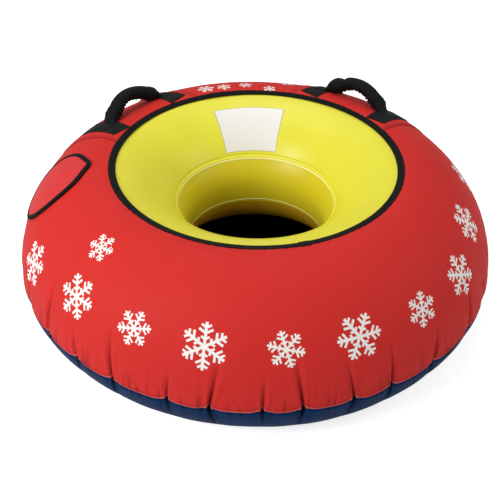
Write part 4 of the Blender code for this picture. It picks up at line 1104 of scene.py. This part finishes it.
FLAP_PIVOT = np.array(JOINTS["flap_open"]["pos_m"])
slope_down = on_slope(np.array(0.0), np.array(0.0), 0.0) - FLAP_PIVOT
slope_down /= np.linalg.norm(slope_down)


def bend_with_flap(obj):
    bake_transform(obj)


# The flap is the cover's red cloth, dyed lighter here as painted light where the flap catches the light.
flap_finish_painted_light = woven("PU-coated oxford polyester red flap painted lighter", ("#E54443", "#E03F3E"), *RED_CLOTH)
turns, shares = np.meshgrid(even_angles(220), np.linspace(0, 0.985, 64))
down, sideways = [edge * shares for edge in flap_outline(turns)]
rumple = 0.0004 * waves(down * 30, sideways, (1, 4), 0.06, 83) * smooth((1 - shares) / 0.3)
over_facing = 0.0003 * bell(np.hypot(down, sideways) - 0.04, 0.008)
points = on_slope(down, sideways, flap_lift(shares) + FLAP_CLOTH + rumple + over_facing)
cloth = looped(np.stack([sideways, down], -1))
flap = sheet_mesh("flap_cloth", points[:, ::-1], cloth[:, ::-1])
close_middle(flap)
layers = flap.modifiers.new("two layers of cloth", "SOLIDIFY")
layers.thickness, layers.offset = 0.001, -1
fit_piece(flap, flap_finish_painted_light, "cover_cloth_red", "valve_flap", body=None)
bend_with_flap(flap)

# The tape's section: inward from the flap's edge, and up from the middle of its cloth.
width = FLAP_TAPE_WIDTH
fold = np.radians(np.linspace(90, -90, 9))
section = [(width + 0.0004, 0.0004), (width, 0.0012), (width - 0.001, 0.0016)]
section += [(0.7 * width, 0.0018), (0.35 * width, 0.0018)]
section += [(-0.0008 * math.cos(a), 0.0016 * math.sin(a) + 0.0001) for a in fold]
section = np.array(section + [(0.35 * width, -0.0012), (0.8 * width, -0.0011), (width, -0.0006)])
turns, row = np.meshgrid(even_angles(300), np.arange(len(section)))
inset, rise = section[row, 0], section[row, 1]
lift = FLAP_EDGE_LIFT + FLAP_CLOTH / 2 + rise + 0.0002 * np.sin(turns * 66) * (rise > 0.001)
points = on_slope(*flap_inset(turns, inset), lift + 0.0006 * smooth(inset / width))
cloth = looped(np.stack([turns * 0.09, inset], -1))
flap_binding = sheet_mesh("flap_binding", points[::-1, ::-1], cloth[::-1, ::-1])
fit_piece(flap_binding, black_tape, "binding_tape", "valve_flap_binding", body=None)
bend_with_flap(flap_binding)

# Two short tapes with rounded edges, sewn flat: loops on the cover look up, hooks under the flap look down.
hook_tape = tape_ribs("nylon hook tape black", ("#1C1D1E", "#232425"), 0.0015, 0.55)
loop_tape = tape_ribs("nylon loop tape black", ("#2A2B2C", "#343536"), 0.0011, 0.95, 0.3)
for name, low, thick, body, finish, node, looks_up in (
    ("loop_strip", 0.0001, 0.0014, "tube", loop_tape, "cover_loop_strip", True),
    ("hook_strip", 0.0021, 0.0012, "flap", hook_tape, "flap_hook_strip", False),
):
    rows, columns = eased(24)[:, None], eased(44)[None, :]
    down, sideways = np.broadcast_arrays(
        STRIP_ARC - FLAP_ARC + STRIP_WIDTH * (rows - 0.5), STRIP_LENGTH * (columns - 0.5)
    )
    edge = rim(rows, 0.06) * rim(columns, 0.03)
    points = on_slope(down, sideways, low + thick * (edge if looks_up else 1 - edge))
    cloth = np.stack([sideways, down], -1)
    if looks_down(points):
        points, cloth = points[:, ::-1], cloth[:, ::-1]
    if not looks_up:
        points, cloth = points[::-1], cloth[::-1]
    strip = fit_piece(sheet_mesh(name, points, cloth, closed=False), finish, name, node, body=body)

turns, shares = np.meshgrid(even_angles(96), eased(12))
reach = WINDOW_RADIUS - 0.0006 + (FACING_WIDTH + 0.0008) * shares
down = VALVE_ARC - FLAP_ARC + reach * np.cos(turns)
points = on_slope(down, reach * np.sin(turns), 0.0001 + 0.0011 * rim(shares, 0.12))
cloth = looped(np.stack([turns * WINDOW_RADIUS, reach], -1))
facing = sheet_mesh("window_facing", points[:, ::-1], cloth[:, ::-1])
fit_piece(facing, black_tape, "binding_tape", "valve_window_facing")


# Stitching
# Lockstitch in bonded polyester thread, 4 mm to the stitch: round the opening's tape, above the perimeter
# seam, two rows round each backing, a crossed box on each patch, and round the flap's tape.

PITCH, THREAD_RADIUS, THREAD_SIDES = 0.004, 0.00036, 5
# A stitch shows over 0.74 of its pitch. At shares of that: its thickness and its rise, in thread radii.
SHOWN = 0.74
STITCH_FORM = ((0, 0.1, -0.5), (0.14, 0.85, 0.3), (0.5, 1, 0.55), (0.86, 0.85, 0.3), (1, 0.1, -0.5))
OPENING_ROW, SEAM_ROW, PATCH_ROW, FLAP_ROW = 0.0108, 0.0065, 0.0035, FLAP_TAPE_WIDTH - 0.0022


def bonded_thread(name, colours):
    """Bonded sewing thread: plies that wind round it, painted lighter on their tops as a painted highlight
    and darker between them as painted shade.
    """
    material, tree = new_material(name)
    turned = add(tree, "Mapping", {"Vector": add(tree, "UVMap", uv_map="cloth"), "Rotation": (0, 0, 0.9)})
    plies = (add(tree, "TexWave", {"Vector": turned, "Scale": WAVE_LENGTH / 0.0007}), "Fac")
    tint = add(tree, "Mix", {0: plies, 6: linear(colours[0]), 7: linear(colours[1])}, data_type="RGBA")
    shader = add(tree, "BsdfPrincipled", {
        "Base Color": tint,
        "Roughness": 0.45,
        "Normal": add(tree, "Bump", {"Height": plies, "Strength": 0.5, "Distance": 0.0001}),
    })
    add(tree, "OutputMaterial", {"Surface": shader})
    return material


black_thread = bonded_thread("bonded polyester thread black", ("#0C0D0D", "#222424"))
red_thread = bonded_thread("bonded polyester thread red", ("#9E1A1C", "#C62C2B"))


def sew(name, rows, thread, slot, body="tube"):
    """Rows of sewn stitches. Each row is a line of points on the cloth and the same line above it."""
    turns = even_angles(THREAD_SIDES)
    stitches = []
    for low, high in rows:
        reach = running_length(np.linalg.norm(np.diff(low, axis=0), axis=1))
        count = max(int(reach[-1] / PITCH), 1)
        middle = (np.arange(count) + 0.5) * reach[-1] / count
        start, end, above = [
            np.stack([np.interp(middle + shift, reach, line[:, k]) for k in range(3)], -1)
            for shift, line in ((-SHOWN / 2 * PITCH, low), (SHOWN / 2 * PITCH, low), (0, high))
        ]
        up = above - (start + end) / 2
        up /= np.linalg.norm(up, axis=1)[:, None]
        across = np.cross(up, end - start)
        across /= np.linalg.norm(across, axis=1)[:, None]
        outward = np.cos(turns)[:, None] * up[:, None] + np.sin(turns)[:, None] * across[:, None]
        outward *= THREAD_RADIUS
        loops = [
            (start + (end - start) * share + up * THREAD_RADIUS * rise)[:, None] + outward * thick
            for share, thick, rise in STITCH_FORM
        ]
        stitches.append(np.stack(loops, 1).reshape(-1, THREAD_SIDES, 3))
    points = np.concatenate(stitches)
    steps = len(STITCH_FORM)
    kept = np.arange(len(points) - 1)[:, None] % steps + 0 * turns != steps - 1
    along = np.tile(np.linspace(0, SHOWN * PITCH, steps), len(points) // steps)[:, None]
    cloth = np.stack(np.broadcast_arrays(along, np.append(turns, TURN) * THREAD_RADIUS), -1)
    return fit_piece(sheet_mesh(name, points, cloth, True, kept), thread, slot, body=body)


def two_lines(line_at, low):
    """The line on the cloth and the one above it, from a function that gives the line at a lift."""
    return line_at(low), line_at(low + 0.001)


def straight(corners):
    """Even points along straight runs between corners in a flat shape."""
    corners = np.array(corners, dtype=float)
    shares = np.linspace(0, 1, 60)[:, None]
    return np.concatenate([a + (b - a) * shares for a, b in zip(corners[:-1], corners[1:])])


angle = np.linspace(0, TURN, 2400)
row_arc = OPENING_ARC + OPENING_ROW + 0 * angle
row = two_lines(lambda lift: cover(angle, row_arc, lift), 0.0011 + 0.0008 * tape_lap(angle))
sew("opening_stitches", [row], black_thread, "binding_tape")

row_arc = SEAM_ARC - SEAM_ROW + 0 * angle
line = panel_points(angle, row_arc)
outward = ring(angle, row_arc, 0.001) - ring(angle, row_arc)
sew("perimeter_stitches", [(line, line + outward)], red_thread, "cover_cloth_red")

for side in ("left", "right"):
    axes = handle_axes(side)
    rows = []
    for inset in BACKING_ROWS:
        far, wide = BACKING_REACH - inset, BACKING_HALF_WIDTH - inset
        corners = [(0.276, wide), (far, wide + BACKING_FLARE), (far, -wide - BACKING_FLARE), (0.276, -wide)]
        line = straight(corners)
        rows.append(two_lines(lambda lift: over_cover(axes, line[:, 0], line[:, 1], lift), 0.0013))
    sew(side + "_backing_stitches", rows, red_thread, "cover_cloth_red")
    rows = []
    half = PATCH_LENGTH / 2 - PATCH_ROW
    low, high = HANDLE_REACH - half, HANDLE_REACH + half
    near, far = PATCH_NEAR + PATCH_ROW, PATCH_NEAR + PATCH_WIDTH - PATCH_ROW
    box = [(low, near), (high, near), (high, far), (low, far), (low, near)]
    for sign in (1, -1):
        for corners in (box, [(low, near), (high, far)], [(high, near), (low, far)]):
            line = straight(corners)
            lift = patch_bottom(line[:, 0], line[:, 1]) + PATCH_THICKNESS
            rows.append(two_lines(lambda rise: over_cover(axes, line[:, 0], sign * line[:, 1], rise), lift))
    sew(side + "_patch_stitches", rows, black_thread, "webbing")

edge = flap_inset(np.linspace(0, TURN, 900), FLAP_ROW)
row = two_lines(lambda lift: on_slope(*edge, lift), FLAP_EDGE_LIFT + FLAP_CLOTH / 2 + 0.0023)
bend_with_flap(sew("flap_stitches", [row], black_thread, "binding_tape", body=None))


bpy.context.view_layer.update()
